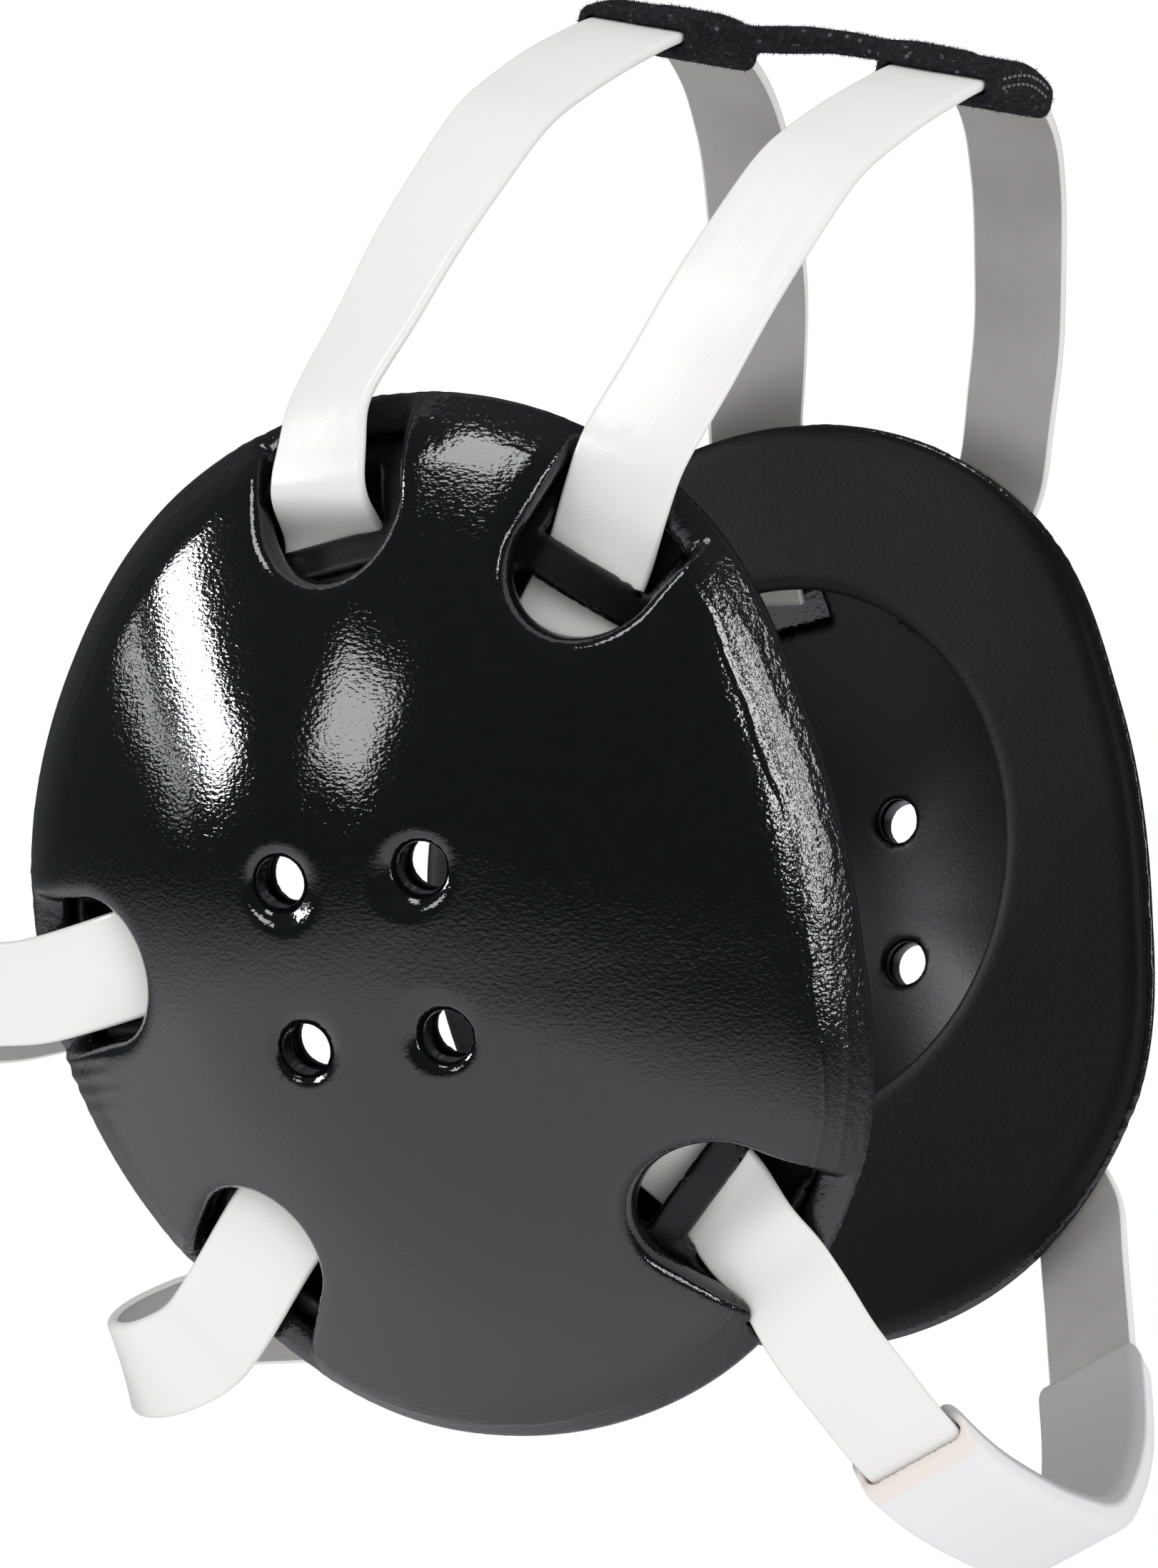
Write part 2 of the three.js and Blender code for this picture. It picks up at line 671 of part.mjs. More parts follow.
const rooms = Object.keys(NOTCHES).map(strapRoom);
const notches = Object.values(NOTCHES);
const shell = fromManifold(cutBy(shellSolid(), [...notches.map(notchCutter), ...ventCutters(true), ...rooms]));
const liner = fromManifold(cutBy(linerSolid(), [...notches.flatMap(slotCutters), ...ventCutters(false), ...rooms]));
const padRing = fromManifold(padRingSolid());

const rightGroup = new THREE.Group();
rightGroup.applyMatrix4(rightCup);
rightGroup.add(piece('right_ear_shell', shell, material(0x15161a, 0.28)));
rightGroup.add(piece('right_ear_liner', liner, material(0x1c1d20, 0.6)));
rightGroup.add(piece('right_pad_ring', padRing, material(0x1c1d20, 0.6)));

const flip = new THREE.Matrix4().makeScale(-1, 1, 1);
const leftGroup = new THREE.Group();
leftGroup.applyMatrix4(flip.clone().multiply(rightCup).multiply(flip));
leftGroup.add(piece('left_ear_shell', mirroredGeometry(shell), material(0x15161a, 0.28)));
leftGroup.add(piece('left_ear_liner', mirroredGeometry(liner), material(0x1c1d20, 0.6)));
leftGroup.add(piece('left_pad_ring', mirroredGeometry(padRing), material(0x1c1d20, 0.6)));
guard.add(rightGroup, leftGroup);

Object.keys(NOTCHES).forEach((name) => {
  const strap = fromManifold(band(strapStations[name], STRAP_SIZE));
  guard.add(piece(`${name}_strap`, strap, material(0xe9e7e3, 0.3)));
});
guard.add(piece('crown_pad', fromManifold(crownPad()), material(0x1b1b1f, 0.95)));
guard.add(piece('chin_cover', fromManifold(chinCover()), material(0xe6e5e8, 0.5)));

export default guard;
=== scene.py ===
import math

import bpy
import numpy as np
from mathutils import Matrix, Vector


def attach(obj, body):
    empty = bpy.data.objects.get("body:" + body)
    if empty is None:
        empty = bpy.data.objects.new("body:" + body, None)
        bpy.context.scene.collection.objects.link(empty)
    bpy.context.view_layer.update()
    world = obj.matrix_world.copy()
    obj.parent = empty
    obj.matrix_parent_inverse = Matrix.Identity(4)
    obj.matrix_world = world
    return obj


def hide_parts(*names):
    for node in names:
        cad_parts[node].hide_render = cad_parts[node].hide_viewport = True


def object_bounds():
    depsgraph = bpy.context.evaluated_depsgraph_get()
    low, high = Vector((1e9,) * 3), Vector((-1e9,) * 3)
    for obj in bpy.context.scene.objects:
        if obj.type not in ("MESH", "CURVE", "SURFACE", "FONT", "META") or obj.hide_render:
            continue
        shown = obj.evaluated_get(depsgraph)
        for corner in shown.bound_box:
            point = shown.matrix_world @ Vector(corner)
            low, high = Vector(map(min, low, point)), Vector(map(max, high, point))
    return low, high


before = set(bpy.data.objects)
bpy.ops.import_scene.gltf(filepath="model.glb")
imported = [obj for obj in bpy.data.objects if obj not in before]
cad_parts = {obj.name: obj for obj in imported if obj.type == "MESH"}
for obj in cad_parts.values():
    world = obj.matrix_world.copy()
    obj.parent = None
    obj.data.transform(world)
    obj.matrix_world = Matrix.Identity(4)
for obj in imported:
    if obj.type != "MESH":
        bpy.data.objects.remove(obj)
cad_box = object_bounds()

# Sizes are in millimetres until MM turns them into metres. A cup's frame has x forward, y up
# and z outward. The head's frame has x to the wearer's left, y to the back and z up, from
# midway between the cups' rims.
MM = 0.001
CUP_HEIGHT = 146
CUP_SPACING = 145.8
CUP_TOE_DEG = 2
CUP_TILT_DEG = 8
CUP_DEPTH = 36
SIDE_WALL_HEIGHT = 9
SIDE_WALL_INSET = 5.5
SHELL_THICKNESS = 6.5
LINER_THICKNESS = 2.5
PAD_RING_BELOW_RIM = 4
PAD_EDGE_INSET = 1.2
PAD_EDGE_ROUND = 1.6
EAR_OPENING_WIDTH = 72
EAR_OPENING_HEIGHT = 82
EAR_OPENING_RISE = 4
NOTCH_WIDTH = 20
NOTCH_DEPTH = 25
NOTCH_MOUTH_FLARE = 2
MOUTH_BRIDGE_HEIGHT = 2.6
BAR_WIDTH = 4.8
BAR_FROM_NOTCH_END = 3.4
SLOT_LENGTH = 7.5
SLOT_SIDE_ROOM = 0.8
VENT_SPACING = (20.4, 22.8)
VENT_TURN_DEG = 8
VENT_DIAMETER = 7
VENT_LIP_DIAMETER = 9.4
VENT_LIP_DEPTH = 2.4
STRAP_WIDTH = 15
STRAP_THICKNESS = 1.7
STRAP_EDGE_ROUND = 0.75
STRAP_TAIL = 6.5
STRAP_FLOOR_ROOM = 0.4
DIVE_UNDER_BAR = 1
DIVE_PAST_NOTCH = 3
DIVE_OVER_BAR = 1.5
CROWN_RISE = 127.4
CROWN_DROP_FORWARD = 6.6
CROWN_STRAP_SPACING = 45.6
CROWN_REAR_FORWARD = 3.4
CROWN_TIP_DEG = 9
NECK_MIDDLE = (0, 97, -21.6)
NAPE_MIDDLE = (0, 66, -66.5)
CHIN_MIDDLE = (0, -70.3, -89)
CHIN_TURN_DEG = 31
CROWN_PAD_WIDTH = 30
CROWN_WALL = 1.5
CROWN_SIDE_WALL = 1.2
CROWN_WAIST_WIDTH = 16
CROWN_WAIST_THICKNESS = 3
CROWN_WAIST_ARCH = 1.4
COVER_SPAN = 92
COVER_WALL = 1.6
COVER_SIDE_WALL = 1.1
GAP = 0.3

# The cup's reach every 30 degrees from the front towards the top, by half its height
OUTLINE_SHARES = np.array([0.826, 0.836, 0.960, 1.0, 0.955, 0.873, 0.842, 0.844, 0.896, 0.999, 1.016, 0.941])

# Rows: bearing, axis and heading in degrees from the front towards the top; depth share; dive;
# in mm: the bar from the notch's end, strap and slots aside, strap's arch, half its tail;
# and how far the strap has twisted at the rim, in degrees
NOTCHES = {
    "front_top": (63, 60, 71, 0.92, "before", BAR_FROM_NOTCH_END, 0, 0, 4.8, 0),
    "rear_top": (101.4, 106, 93, 0.93, "before", 0.3, 3.6, 5.5, 3.4, -30),
    "upper_rear": (190.3, 195, 200, 1.04, "after", BAR_FROM_NOTCH_END, 0, 0, STRAP_TAIL, 0),
    "lower_rear": (243, 240, 232, 1.04, "after", BAR_FROM_NOTCH_END, 0, 0, STRAP_TAIL, 0),
    "chin": (320.8, 324, 306, 1.0, "before", BAR_FROM_NOTCH_END, 0, 0, STRAP_TAIL, 0),
}
RIM_ARCH_SHARE = 0.35

# Rows: shares across, along and up from the rim to the middle plane, and the turn
TOP_ROUTE = [
    (0.10, 0.20, 0.212, 0.2), (0.18, 0.35, 0.380, 0.4), (0.29, 0.49, 0.550, 0.6),
    (0.42, 0.64, 0.722, 0.8), (0.515, 0.74, 0.798, 0.9), (0.616, 0.84, 0.865, 1),
    (0.725, 0.92, 0.922, 1), (0.85, 0.97, 0.973, 1), (1, 1, 1, 1),
]
NECK_ROUTE = [
    (0.068, 0.24, 0.12, 0.2), (0.174, 0.476, 0.3, 0.4), (0.334, 0.70, 0.5, 0.7),
    (0.52, 0.856, 0.7, 0.9), (0.76, 0.969, 0.9, 1), (1, 1, 1, 1),
]
NAPE_ROUTE = [
    (0.104, 0.203, 0.60, 0.1), (0.207, 0.478, 1.05, 0.25), (0.3245, 0.71, 1.22, 0.5),
    (0.50, 0.884, 1.2, 0.8), (0.736, 0.98, 1.09, 1), (1, 1, 1, 1),
]
CHIN_ROUTE = [
    (0.081, 0.14, 0.183, 0.2), (0.184, 0.286, 0.35, 0.5), (0.309, 0.46, 0.545, 0.8),
    (0.45, 0.645, 0.715, 1), (0.60, 0.80, 0.835, 1), (0.78, 0.92, 0.935, 1), (1, 1, 1, 1),
]

# Crown pad's waist: along, rise share, flare share
CROWN_WAIST = [
    (0.04, 0, 0.8), (0.19, -0.2, 0.5), (0.33, 0.1, 0.1), (0.5, 0.9, 0),
    (0.67, 1, 0.1), (0.81, 0.6, 0.5), (0.96, 0.2, 0.8),
]

half = lambda size: size / 2


def unit(v):
    return v / np.linalg.norm(v, axis=-1, keepdims=True)


def smooth_max(a, b, k):
    h = np.maximum(k - np.abs(a - b), 0) / k
    return np.maximum(a, b) + h * h * k * 0.25


def smooth_min(a, b, k):
    return -smooth_max(-a, -b, k)


# Cup outline and dome
def outline_radius(angle):
    count = len(OUTLINE_SHARES)
    place = (angle / (2 * math.pi) % 1) * count
    row = np.floor(place).astype(int)
    t = place - row
    a, b, c, d = (OUTLINE_SHARES[(row + k) % count] for k in (-1, 0, 1, 2))
    share = ((2 * t**3 - 3 * t**2 + 1) * b + (t**3 - 2 * t**2 + t) * half(c - a)
             + (3 * t**2 - 2 * t**3) * c + (t**3 - t**2) * half(d - b))
    return share * half(CUP_HEIGHT)


EDGE_SLOPE = math.atan(2 * (CUP_DEPTH - SIDE_WALL_HEIGHT) / (half(CUP_HEIGHT) * 0.9 - SIDE_WALL_INSET))


class Dome:
    """Paraboloid that follows the outline, a depth below the shell's outer surface."""

    def __init__(self, depth):
        self.inset = SIDE_WALL_INSET + depth * math.sin(EDGE_SLOPE)
        self.edge = SIDE_WALL_HEIGHT - depth * math.cos(EDGE_SLOPE)
        self.apex = CUP_DEPTH - depth

    def height(self, x, y):
        share = np.hypot(x, y) / (outline_radius(np.arctan2(y, x)) - self.inset)
        return self.edge + (self.apex - self.edge) * (1 - share**2)

    def distance(self, x, y, z):
        reach = outline_radius(np.arctan2(y, x)) - self.inset
        share = np.hypot(x, y) / reach
        slope = 2 * (self.apex - self.edge) * share / reach
        return (z - self.edge - (self.apex - self.edge) * (1 - share**2)) / np.sqrt(1 + slope**2)


SHELL_OUTER = Dome(0)
SHELL_INNER = Dome(SHELL_THICKNESS)
LINER_OUTER = Dome(SHELL_THICKNESS + GAP)
LINER_INNER = Dome(SHELL_THICKNESS + GAP + LINER_THICKNESS)
WALL_LENGTH = math.hypot(SIDE_WALL_HEIGHT, SIDE_WALL_INSET)


def wall_distance(x, y, z, inset):
    r = np.hypot(x, y)
    edge = outline_radius(np.arctan2(y, x)) - inset
    return ((r - edge) * SIDE_WALL_HEIGHT + z * SIDE_WALL_INSET) / WALL_LENGTH


# Notches and straps in the cup's frame
def heading(degrees):
    return np.array([math.cos(math.radians(degrees)), math.sin(math.radians(degrees))])


class Notch:
    def __init__(self, bearing, axis, strap_heading, depth, dive, bar_from_end, aside, arch, tail, twist):
        self.mouth = heading(bearing) * outline_radius(np.array(math.radians(bearing)))
        self.outward = heading(axis)
        self.strap_heading = heading(strap_heading)
        self.depth = depth * NOTCH_DEPTH
        self.bar_inner = self.depth - bar_from_end
        self.bar_outer = self.bar_inner - BAR_WIDTH
        self.bar_middle = half(self.bar_inner + self.bar_outer)
        self.aside = aside
        sideways = np.array([-self.outward[1], self.outward[0]])
        self.pivot = self.mouth - self.outward * self.bar_middle + sideways * aside
        self.arch, self.tail, self.twist = arch, tail, math.radians(twist)
        self.before = dive == "before"

    def plan(self, x, y):
        """Depth in from the mouth and the distance to one side, for points in plan."""
        dx, dy = x - self.mouth[0], y - self.mouth[1]
        along = dx * self.outward[0] + dy * self.outward[1]
        side = -dx * self.outward[1] + dy * self.outward[0]
        return -along, side

    def u_distance(self, x, y):
        depth, side = self.plan(x, y)
        centre = self.depth - half(NOTCH_WIDTH)
        flare = half(NOTCH_MOUTH_FLARE) * np.clip(1 - depth / centre, 0, 1)
        straight = np.abs(side) - half(NOTCH_WIDTH) - flare
        round_end = np.hypot(np.maximum(depth - centre, 0), side) - half(NOTCH_WIDTH)
        return np.where(depth < centre, straight, round_end)

    def slot_distance(self, x, y):
        depth, side = self.plan(x, y)
        reach = half(STRAP_WIDTH) + SLOT_SIDE_ROOM
        best = None
        outer_slot = (self.bar_outer - SLOT_LENGTH, self.bar_outer)
        inner_slot = (self.bar_inner, self.bar_inner + SLOT_LENGTH)
        for low, high in (outer_slot, inner_slot):
            middle, size = half(low + high), half(high - low)
            dx, dy = np.abs(depth - middle) - size, np.abs(side - self.aside) - reach
            d = np.maximum(dx, dy)
            best = d if best is None else np.minimum(best, d)
        return best

    def stations(self):
        lift = half(STRAP_THICKNESS) + GAP + STRAP_FLOOR_ROOM
        rim = MOUTH_BRIDGE_HEIGHT + lift
        rise = lift / math.cos(EDGE_SLOPE)
        dive_end = self.bar_outer + DIVE_UNDER_BAR if self.before else self.depth + DIVE_PAST_NOTCH
        dive_start = self.bar_outer - SLOT_LENGTH if self.before else self.bar_inner - DIVE_OVER_BAR
        below = lambda p: float(LINER_INNER.height(p[0], p[1])) - rise
        above = lambda p: max(float(LINER_OUTER.height(p[0], p[1])) + rise, rim) + self.arch
        rows = [(dive_end + 2 * self.tail, below), (dive_end + self.tail, below), (dive_end, below)]
        if not self.before:
            rows.append((half(dive_end + dive_start), lambda p: half(below(p) + above(p))))
        rows.append((dive_start, above))
        if self.before:
            rows.append((half(dive_start), above))
        rows.append((0, lambda p: rim + self.arch * RIM_ARCH_SHARE))
        places, widths = [], []
        for depth, height in rows:
            p = self.pivot + self.strap_heading * (self.bar_middle - depth)
            places.append((p[0], p[1], height(p)))
            twisted = self.twist * max(1 - depth / self.bar_outer, 0)
            level = math.cos(twisted)
            widths.append((-self.strap_heading[1] * level, self.strap_heading[0] * level, math.sin(twisted)))
        return np.array(places), np.array(widths)


NOTCH = {name: Notch(*row) for name, row in NOTCHES.items()}


def cup_axes():
    toe, tilt = math.radians(CUP_TOE_DEG), math.radians(CUP_TILT_DEG)
    outward = np.array([-math.cos(toe) * math.cos(tilt), -math.sin(toe) * math.cos(tilt), -math.sin(tilt)])
    forward = np.array([math.sin(toe), -math.cos(toe), 0.0])
    return np.stack([forward, np.cross(outward, forward), outward])


CUP_AXES = cup_axes()
CUP_CENTRE = np.array([-half(CUP_SPACING), 0, 0])


def cup_to_head(points):
    return points @ CUP_AXES + CUP_CENTRE


def head_to_cup(points):
    return (points - CUP_CENTRE) @ CUP_AXES.T


CROWN_FRONT = np.array([0, -CROWN_REAR_FORWARD - CROWN_STRAP_SPACING, CROWN_RISE - CROWN_DROP_FORWARD])
CROWN_REAR = np.array([0, -CROWN_REAR_FORWARD, CROWN_RISE])
CROWN_MIDDLE = half(CROWN_FRONT + CROWN_REAR)
ORIGIN = np.array([0, CROWN_MIDDLE[1], CROWN_MIDDLE[2] + CROWN_WAIST_ARCH - half(CROWN_WAIST_THICKNESS)])
tip = math.radians(CROWN_TIP_DEG)
turn = math.radians(CHIN_TURN_DEG)
CROWN_ACROSS = np.array([0, -math.cos(tip), -math.sin(tip)])
CHIN_ACROSS = np.array([0, -math.cos(turn), math.sin(turn)])
UPRIGHT = np.array([0, 0, 1.0])
ROUTES = {
    "front_top": (TOP_ROUTE, CROWN_FRONT, CROWN_ACROSS, -1),
    "rear_top": (TOP_ROUTE, CROWN_REAR, CROWN_ACROSS, -1),
    "upper_rear": (NECK_ROUTE, np.array(NECK_MIDDLE), UPRIGHT, -1),
    "lower_rear": (NAPE_ROUTE, np.array(NAPE_MIDDLE), UPRIGHT, -1),
    "chin": (CHIN_ROUTE, np.array(CHIN_MIDDLE), CHIN_ACROSS, 1),
}


def catmull_rom(points, spots):
    """Centripetal Catmull-Rom through points at spots given in spans."""
    ends = np.vstack([2 * points[0] - points[1], points, 2 * points[-1] - points[-2]])
    row = np.minimum(np.floor(spots).astype(int), len(points) - 2)
    t = (spots - row)[:, None]
    p0, p1, p2, p3 = (ends[row + k] for k in range(4))
    d0, d1, d2 = (np.sqrt(np.linalg.norm(b - a, axis=1))[:, None] for a, b in ((p0, p1), (p1, p2), (p2, p3)))
    m1 = ((p1 - p0) / d0 - (p2 - p0) / (d0 + d1) + (p2 - p1) / d1) * d1
    m2 = ((p2 - p1) / d1 - (p3 - p1) / (d1 + d2) + (p3 - p2) / d2) * d1
    return ((2 * t**3 - 3 * t**2 + 1) * p1 + (t**3 - 2 * t**2 + t) * m1
            + (3 * t**2 - 2 * t**3) * p2 + (t**3 - t**2) * m2)


def evenly(points, extra, spacing):
    """Points and what goes with them, resampled at an even spacing."""
    run = np.concatenate([[0], np.cumsum(np.linalg.norm(np.diff(points, axis=0), axis=1))])
    spots = np.linspace(0, run[-1], int(run[-1] / spacing) | 1)
    pick = lambda values: np.stack([np.interp(spots, run, values[:, k]) for k in range(3)], 1)
    return pick(points), pick(extra)


def softened(values, reach):
    """A running average whose window shrinks at the ends."""
    kernel = np.hanning(2 * reach + 3)[1:-1]
    kernel /= kernel.sum()
    before = 2 * values[0] - values[reach:0:-1]
    after = 2 * values[-1] - values[-2:-reach - 2:-1]
    padded = np.vstack([before, values, after])
    return np.stack([np.convolve(padded[:, k], kernel, "valid") for k in range(3)], 1)


STRAP_STEP = 1.0
STRAP_SOFTENING = 4
SPOTS_PER_SPAN = 12


def strap_line(name):
    """Places, widths and outward directions along a whole strap in the head's frame."""
    table, middle, middle_width, sign = ROUTES[name]
    places, widths = NOTCH[name].stations()
    places = cup_to_head(places)
    widths = widths @ CUP_AXES * sign
    rim, rim_width = places[-1], widths[-1]
    for across, along, up, turned in table:
        share = np.array([across, along, up])
        places = np.vstack([places, rim + (middle - rim) * share])
        widths = np.vstack([widths, unit(rim_width + (middle_width - rim_width) * turned)])
    flip = np.array([-1, 1, 1])
    places = np.vstack([places, places[-2::-1] * flip])
    widths = np.vstack([widths, widths[-2::-1] * flip])
    spots = np.linspace(0, len(places) - 1, SPOTS_PER_SPAN * (len(places) - 1) + 1)
    fine = catmull_rom(places, spots)
    fine_width = np.stack([np.interp(spots, np.arange(len(places)), widths[:, k]) for k in range(3)], 1)
    fine, fine_width = evenly(fine, fine_width, STRAP_STEP)
    fine = softened(fine, STRAP_SOFTENING)
    fine_width = softened(fine_width, 2 * STRAP_SOFTENING)
    tangent = unit(np.gradient(fine, axis=0))
    fine_width = unit(fine_width - (fine_width * tangent).sum(1, keepdims=True) * tangent)
    return fine, fine_width, unit(np.cross(tangent, fine_width))


STRAPS = {name: strap_line(name) for name in NOTCHES}


def band_distance(points, line, across, through, rounding, box_pad=6.0):
    """Distance to a rounded band along a line, exact enough near its surface."""
    places, widths, outwards = line
    out = np.full(len(points), 1e3)
    low, high = places.min(0) - box_pad - across / 2, places.max(0) + box_pad + across / 2
    near = np.flatnonzero(((points > low) & (points < high)).all(1))
    p = points[near]
    best = np.full(len(p), 1e3)
    for k in range(len(places) - 1):
        a, b = places[k], places[k + 1]
        rel = p - a
        close = np.flatnonzero((np.abs(rel) < across / 2 + box_pad).all(1))
        if not len(close):
            continue
        rel = rel[close]
        axis = b - a
        length = np.linalg.norm(axis)
        axis = axis / length
        t = np.clip(rel @ axis, 0, length)
        rest = rel - t[:, None] * axis
        over = rest @ axis
        s = (t / length)[:, None]
        width = widths[k] * (1 - s) + widths[k + 1] * s
        outward = outwards[k] * (1 - s) + outwards[k + 1] * s
        qx = np.abs((rest * width).sum(1)) - half(across) + rounding
        qy = np.abs((rest * outward).sum(1)) - half(through) + rounding
        d = np.sqrt(np.maximum(qx, 0) ** 2 + np.maximum(qy, 0) ** 2 + over**2)
        d += np.minimum(np.maximum(qx, qy), 0) - rounding
        best[close] = np.minimum(best[close], d)
    out[near] = best
    return out


# Meshing a distance field
def surface_net(field, low, step):
    """A quad mesh on the zero level of a field sampled on a grid."""
    inside = field < 0
    shape = field.shape
    cells = tuple(n - 1 for n in shape)
    total = np.zeros(cells + (3,))
    count = np.zeros(cells)
    corner = lambda a, o: a[o[0]:o[0] + cells[0], o[1]:o[1] + cells[1], o[2]:o[2] + cells[2]]
    offsets = [(i, j, k) for i in (0, 1) for j in (0, 1) for k in (0, 1)]
    for o in offsets:
        for axis in range(3):
            if o[axis]:
                continue
            q = list(o)
            q[axis] = 1
            a, b = corner(field, o), corner(field, q)
            cross = corner(inside, o) != corner(inside, q)
            t = np.where(cross, a / np.where(cross, a - b, 1), 0)
            for k in range(3):
                total[..., k] += np.where(cross, o[k] + (t if k == axis else 0), 0)
            count += cross
    used = count > 0
    index = np.full(cells, -1)
    index[used] = np.arange(used.sum())
    where = np.argwhere(used)
    points = (where + total[used] / count[used][:, None]) * step + np.array(low)
    quads = []
    for axis in range(3):
        u, v = [(1, 2), (2, 0), (0, 1)][axis]
        near_cut = [slice(None)] * 3
        far_cut = [slice(None)] * 3
        near_cut[axis], far_cut[axis] = slice(0, -1), slice(1, None)
        a, b = inside[tuple(near_cut)], inside[tuple(far_cut)]
        for leaving in (True, False):
            edge = np.argwhere((a & ~b) if leaving else (~a & b))
            past_low = (edge[:, u] > 0) & (edge[:, v] > 0)
            before_high = (edge[:, u] < cells[u]) & (edge[:, v] < cells[v])
            edge = edge[past_low & before_high]
            ring = []
            for du, dv in ((-1, -1), (0, -1), (0, 0), (-1, 0)):
                c = edge.copy()
                c[:, u] += du
                c[:, v] += dv
                ring.append(index[c[:, 0], c[:, 1], c[:, 2]])
            quads.append(np.stack(ring if leaving else ring[::-1], 1))
    return points, np.vstack(quads)


SLOPE_REACH = 0.04
SMALLEST_SLOPE_SQUARED = 0.25
LONGEST_MOVE = 0.5


def settle(points, distance, rounds):
    """Moves points onto the zero level of a distance function."""
    for _ in range(rounds):
        d = distance(points)
        grad = np.stack([(distance(points + SLOPE_REACH * e) - d) / SLOPE_REACH for e in np.eye(3)], 1)
        size = np.maximum((grad**2).sum(1, keepdims=True), SMALLEST_SLOPE_SQUARED)
        points = points - np.clip(d[:, None] * grad / size, -LONGEST_MOVE, LONGEST_MOVE)
    return points


def relaxed(points, quads, share):
    """Moves each point a share of the way to the middle of its neighbours."""
    total = np.zeros_like(points)
    count = np.zeros(len(points))
    for k in range(4):
        a, b = quads[:, k], quads[:, (k + 1) % 4]
        for j in range(3):
            total[:, j] += np.bincount(a, points[b, j], len(points))
        count += np.bincount(a, minlength=len(points))
    return points + (total / count[:, None] - points) * share


COARSE = 2
NEAR_STEPS = 1.9


def sampled(distance, low, high, step):
    """The field on a fine grid, worked out in full only near the surface."""
    shape = [int(math.ceil((b - a) / (step * COARSE))) * COARSE + 1 for a, b in zip(low, high)]
    axes = [a + np.arange(n) * step for a, n in zip(low, shape)]
    grid = np.stack(np.meshgrid(*axes, indexing="ij"), -1)
    rough = distance(grid[::COARSE, ::COARSE, ::COARSE].reshape(-1, 3))
    rough = rough.reshape([(n - 1) // COARSE + 1 for n in shape])
    field = rough.repeat(COARSE, 0).repeat(COARSE, 1).repeat(COARSE, 2)
    field = field[:shape[0], :shape[1], :shape[2]].copy()
    near = np.abs(field) < step * COARSE * NEAR_STEPS
    field[near] = distance(grid[near])
    return field


RELAX_SHARE = 0.6


def meshed(distance, low, high, step):
    points, quads = surface_net(sampled(distance, low, high, step), low, step)
    for _ in range(2):
        points = relaxed(settle(points, distance, 1), quads, RELAX_SHARE)
    return settle(points, distance, 2), quads


# Cup layers as distance fields in the cup's frame
def vent_places():
    turned = math.radians(VENT_TURN_DEG)
    c, s = math.cos(turned), math.sin(turned)
    for f, u in ((-1, 1), (1, 1), (1, -1), (-1, -1)):
        x, y = f * half(VENT_SPACING[0]), u * half(VENT_SPACING[1])
        yield x * c - y * s, x * s + y * c


def vents(x, y, z, lip):
    best = np.full(len(x), 1e3)
    for cx, cy in vent_places():
        r = np.hypot(x - cx, y - cy)
        if lip:
            surface = float(SHELL_OUTER.height(cx, cy))
            widen = half(VENT_LIP_DIAMETER - VENT_DIAMETER)
            share = np.clip((z - surface + VENT_LIP_DEPTH) / VENT_LIP_DEPTH, 0, 1.6)
            d = r - half(VENT_DIAMETER) - widen * share**2
        else:
            d = r - half(VENT_DIAMETER)
        best = np.minimum(best, d)
    return best


ROOM = {"across": STRAP_WIDTH + 2 * GAP, "through": STRAP_THICKNESS + 2 * GAP, "rounding": 0.6}


def strap_rooms():
    """Each strap's stretch near the right cup, in that cup's frame."""
    rooms = []
    for places, widths, outwards in STRAPS.values():
        local = head_to_cup(places)
        keep = (places[:, 0] < 0) & (np.hypot(local[:, 0], local[:, 1]) < half(CUP_HEIGHT) + 10)
        rooms.append((local[keep], widths[keep] @ CUP_AXES.T, outwards[keep] @ CUP_AXES.T))
    return rooms


ROOMS = strap_rooms()
CREASE_ROUND = 1.6
NOTCH_ROUND = 2.6
SKIN_ROUND = 1.6
BAR_ROUND = 1.2
NOTCH_FLOOR_ROUND = 1.0
SLOT_FLOOR_ROUND = 0.6
LINER_EDGE_ROUND = 0.8
LINER_FOOT_ROUND = 0.5
ROOM_EDGE_ROUND = 0.4
WALL_LEAN = math.atan2(SIDE_WALL_INSET, SIDE_WALL_HEIGHT)
RIM_INSET = SHELL_THICKNESS * math.cos(WALL_LEAN)
LINER_FOOT = LINER_THICKNESS * math.cos(WALL_LEAN)


PUCKER_HEIGHT = 0.05
PUCKER_PITCH = 2.6
PUCKER_REACH = 4.5
PUCKER_ASIDE = 2
FOLD_HEIGHT = 0.3
FOLD_REACH = 6.5


def puckers(x, y):
    """Small folds in the skin round the corners of each notch's mouth."""
    total = 0
    for name, notch in NOTCH.items():
        depth, side = notch.plan(x, y)
        u = notch.u_distance(x, y)
        wave = np.cos(u * 2 * math.pi / PUCKER_PITCH)
        for end in (-1, 1):
            deep = name == "upper_rear" and end == 1
            height, reach = (FOLD_HEIGHT, FOLD_REACH) if deep else (PUCKER_HEIGHT, PUCKER_REACH)
            away = np.hypot(depth - reach, side - end * (half(NOTCH_WIDTH) + PUCKER_ASIDE))
            total = total + height * wave * np.exp(-((away / reach) ** 2))
    return total


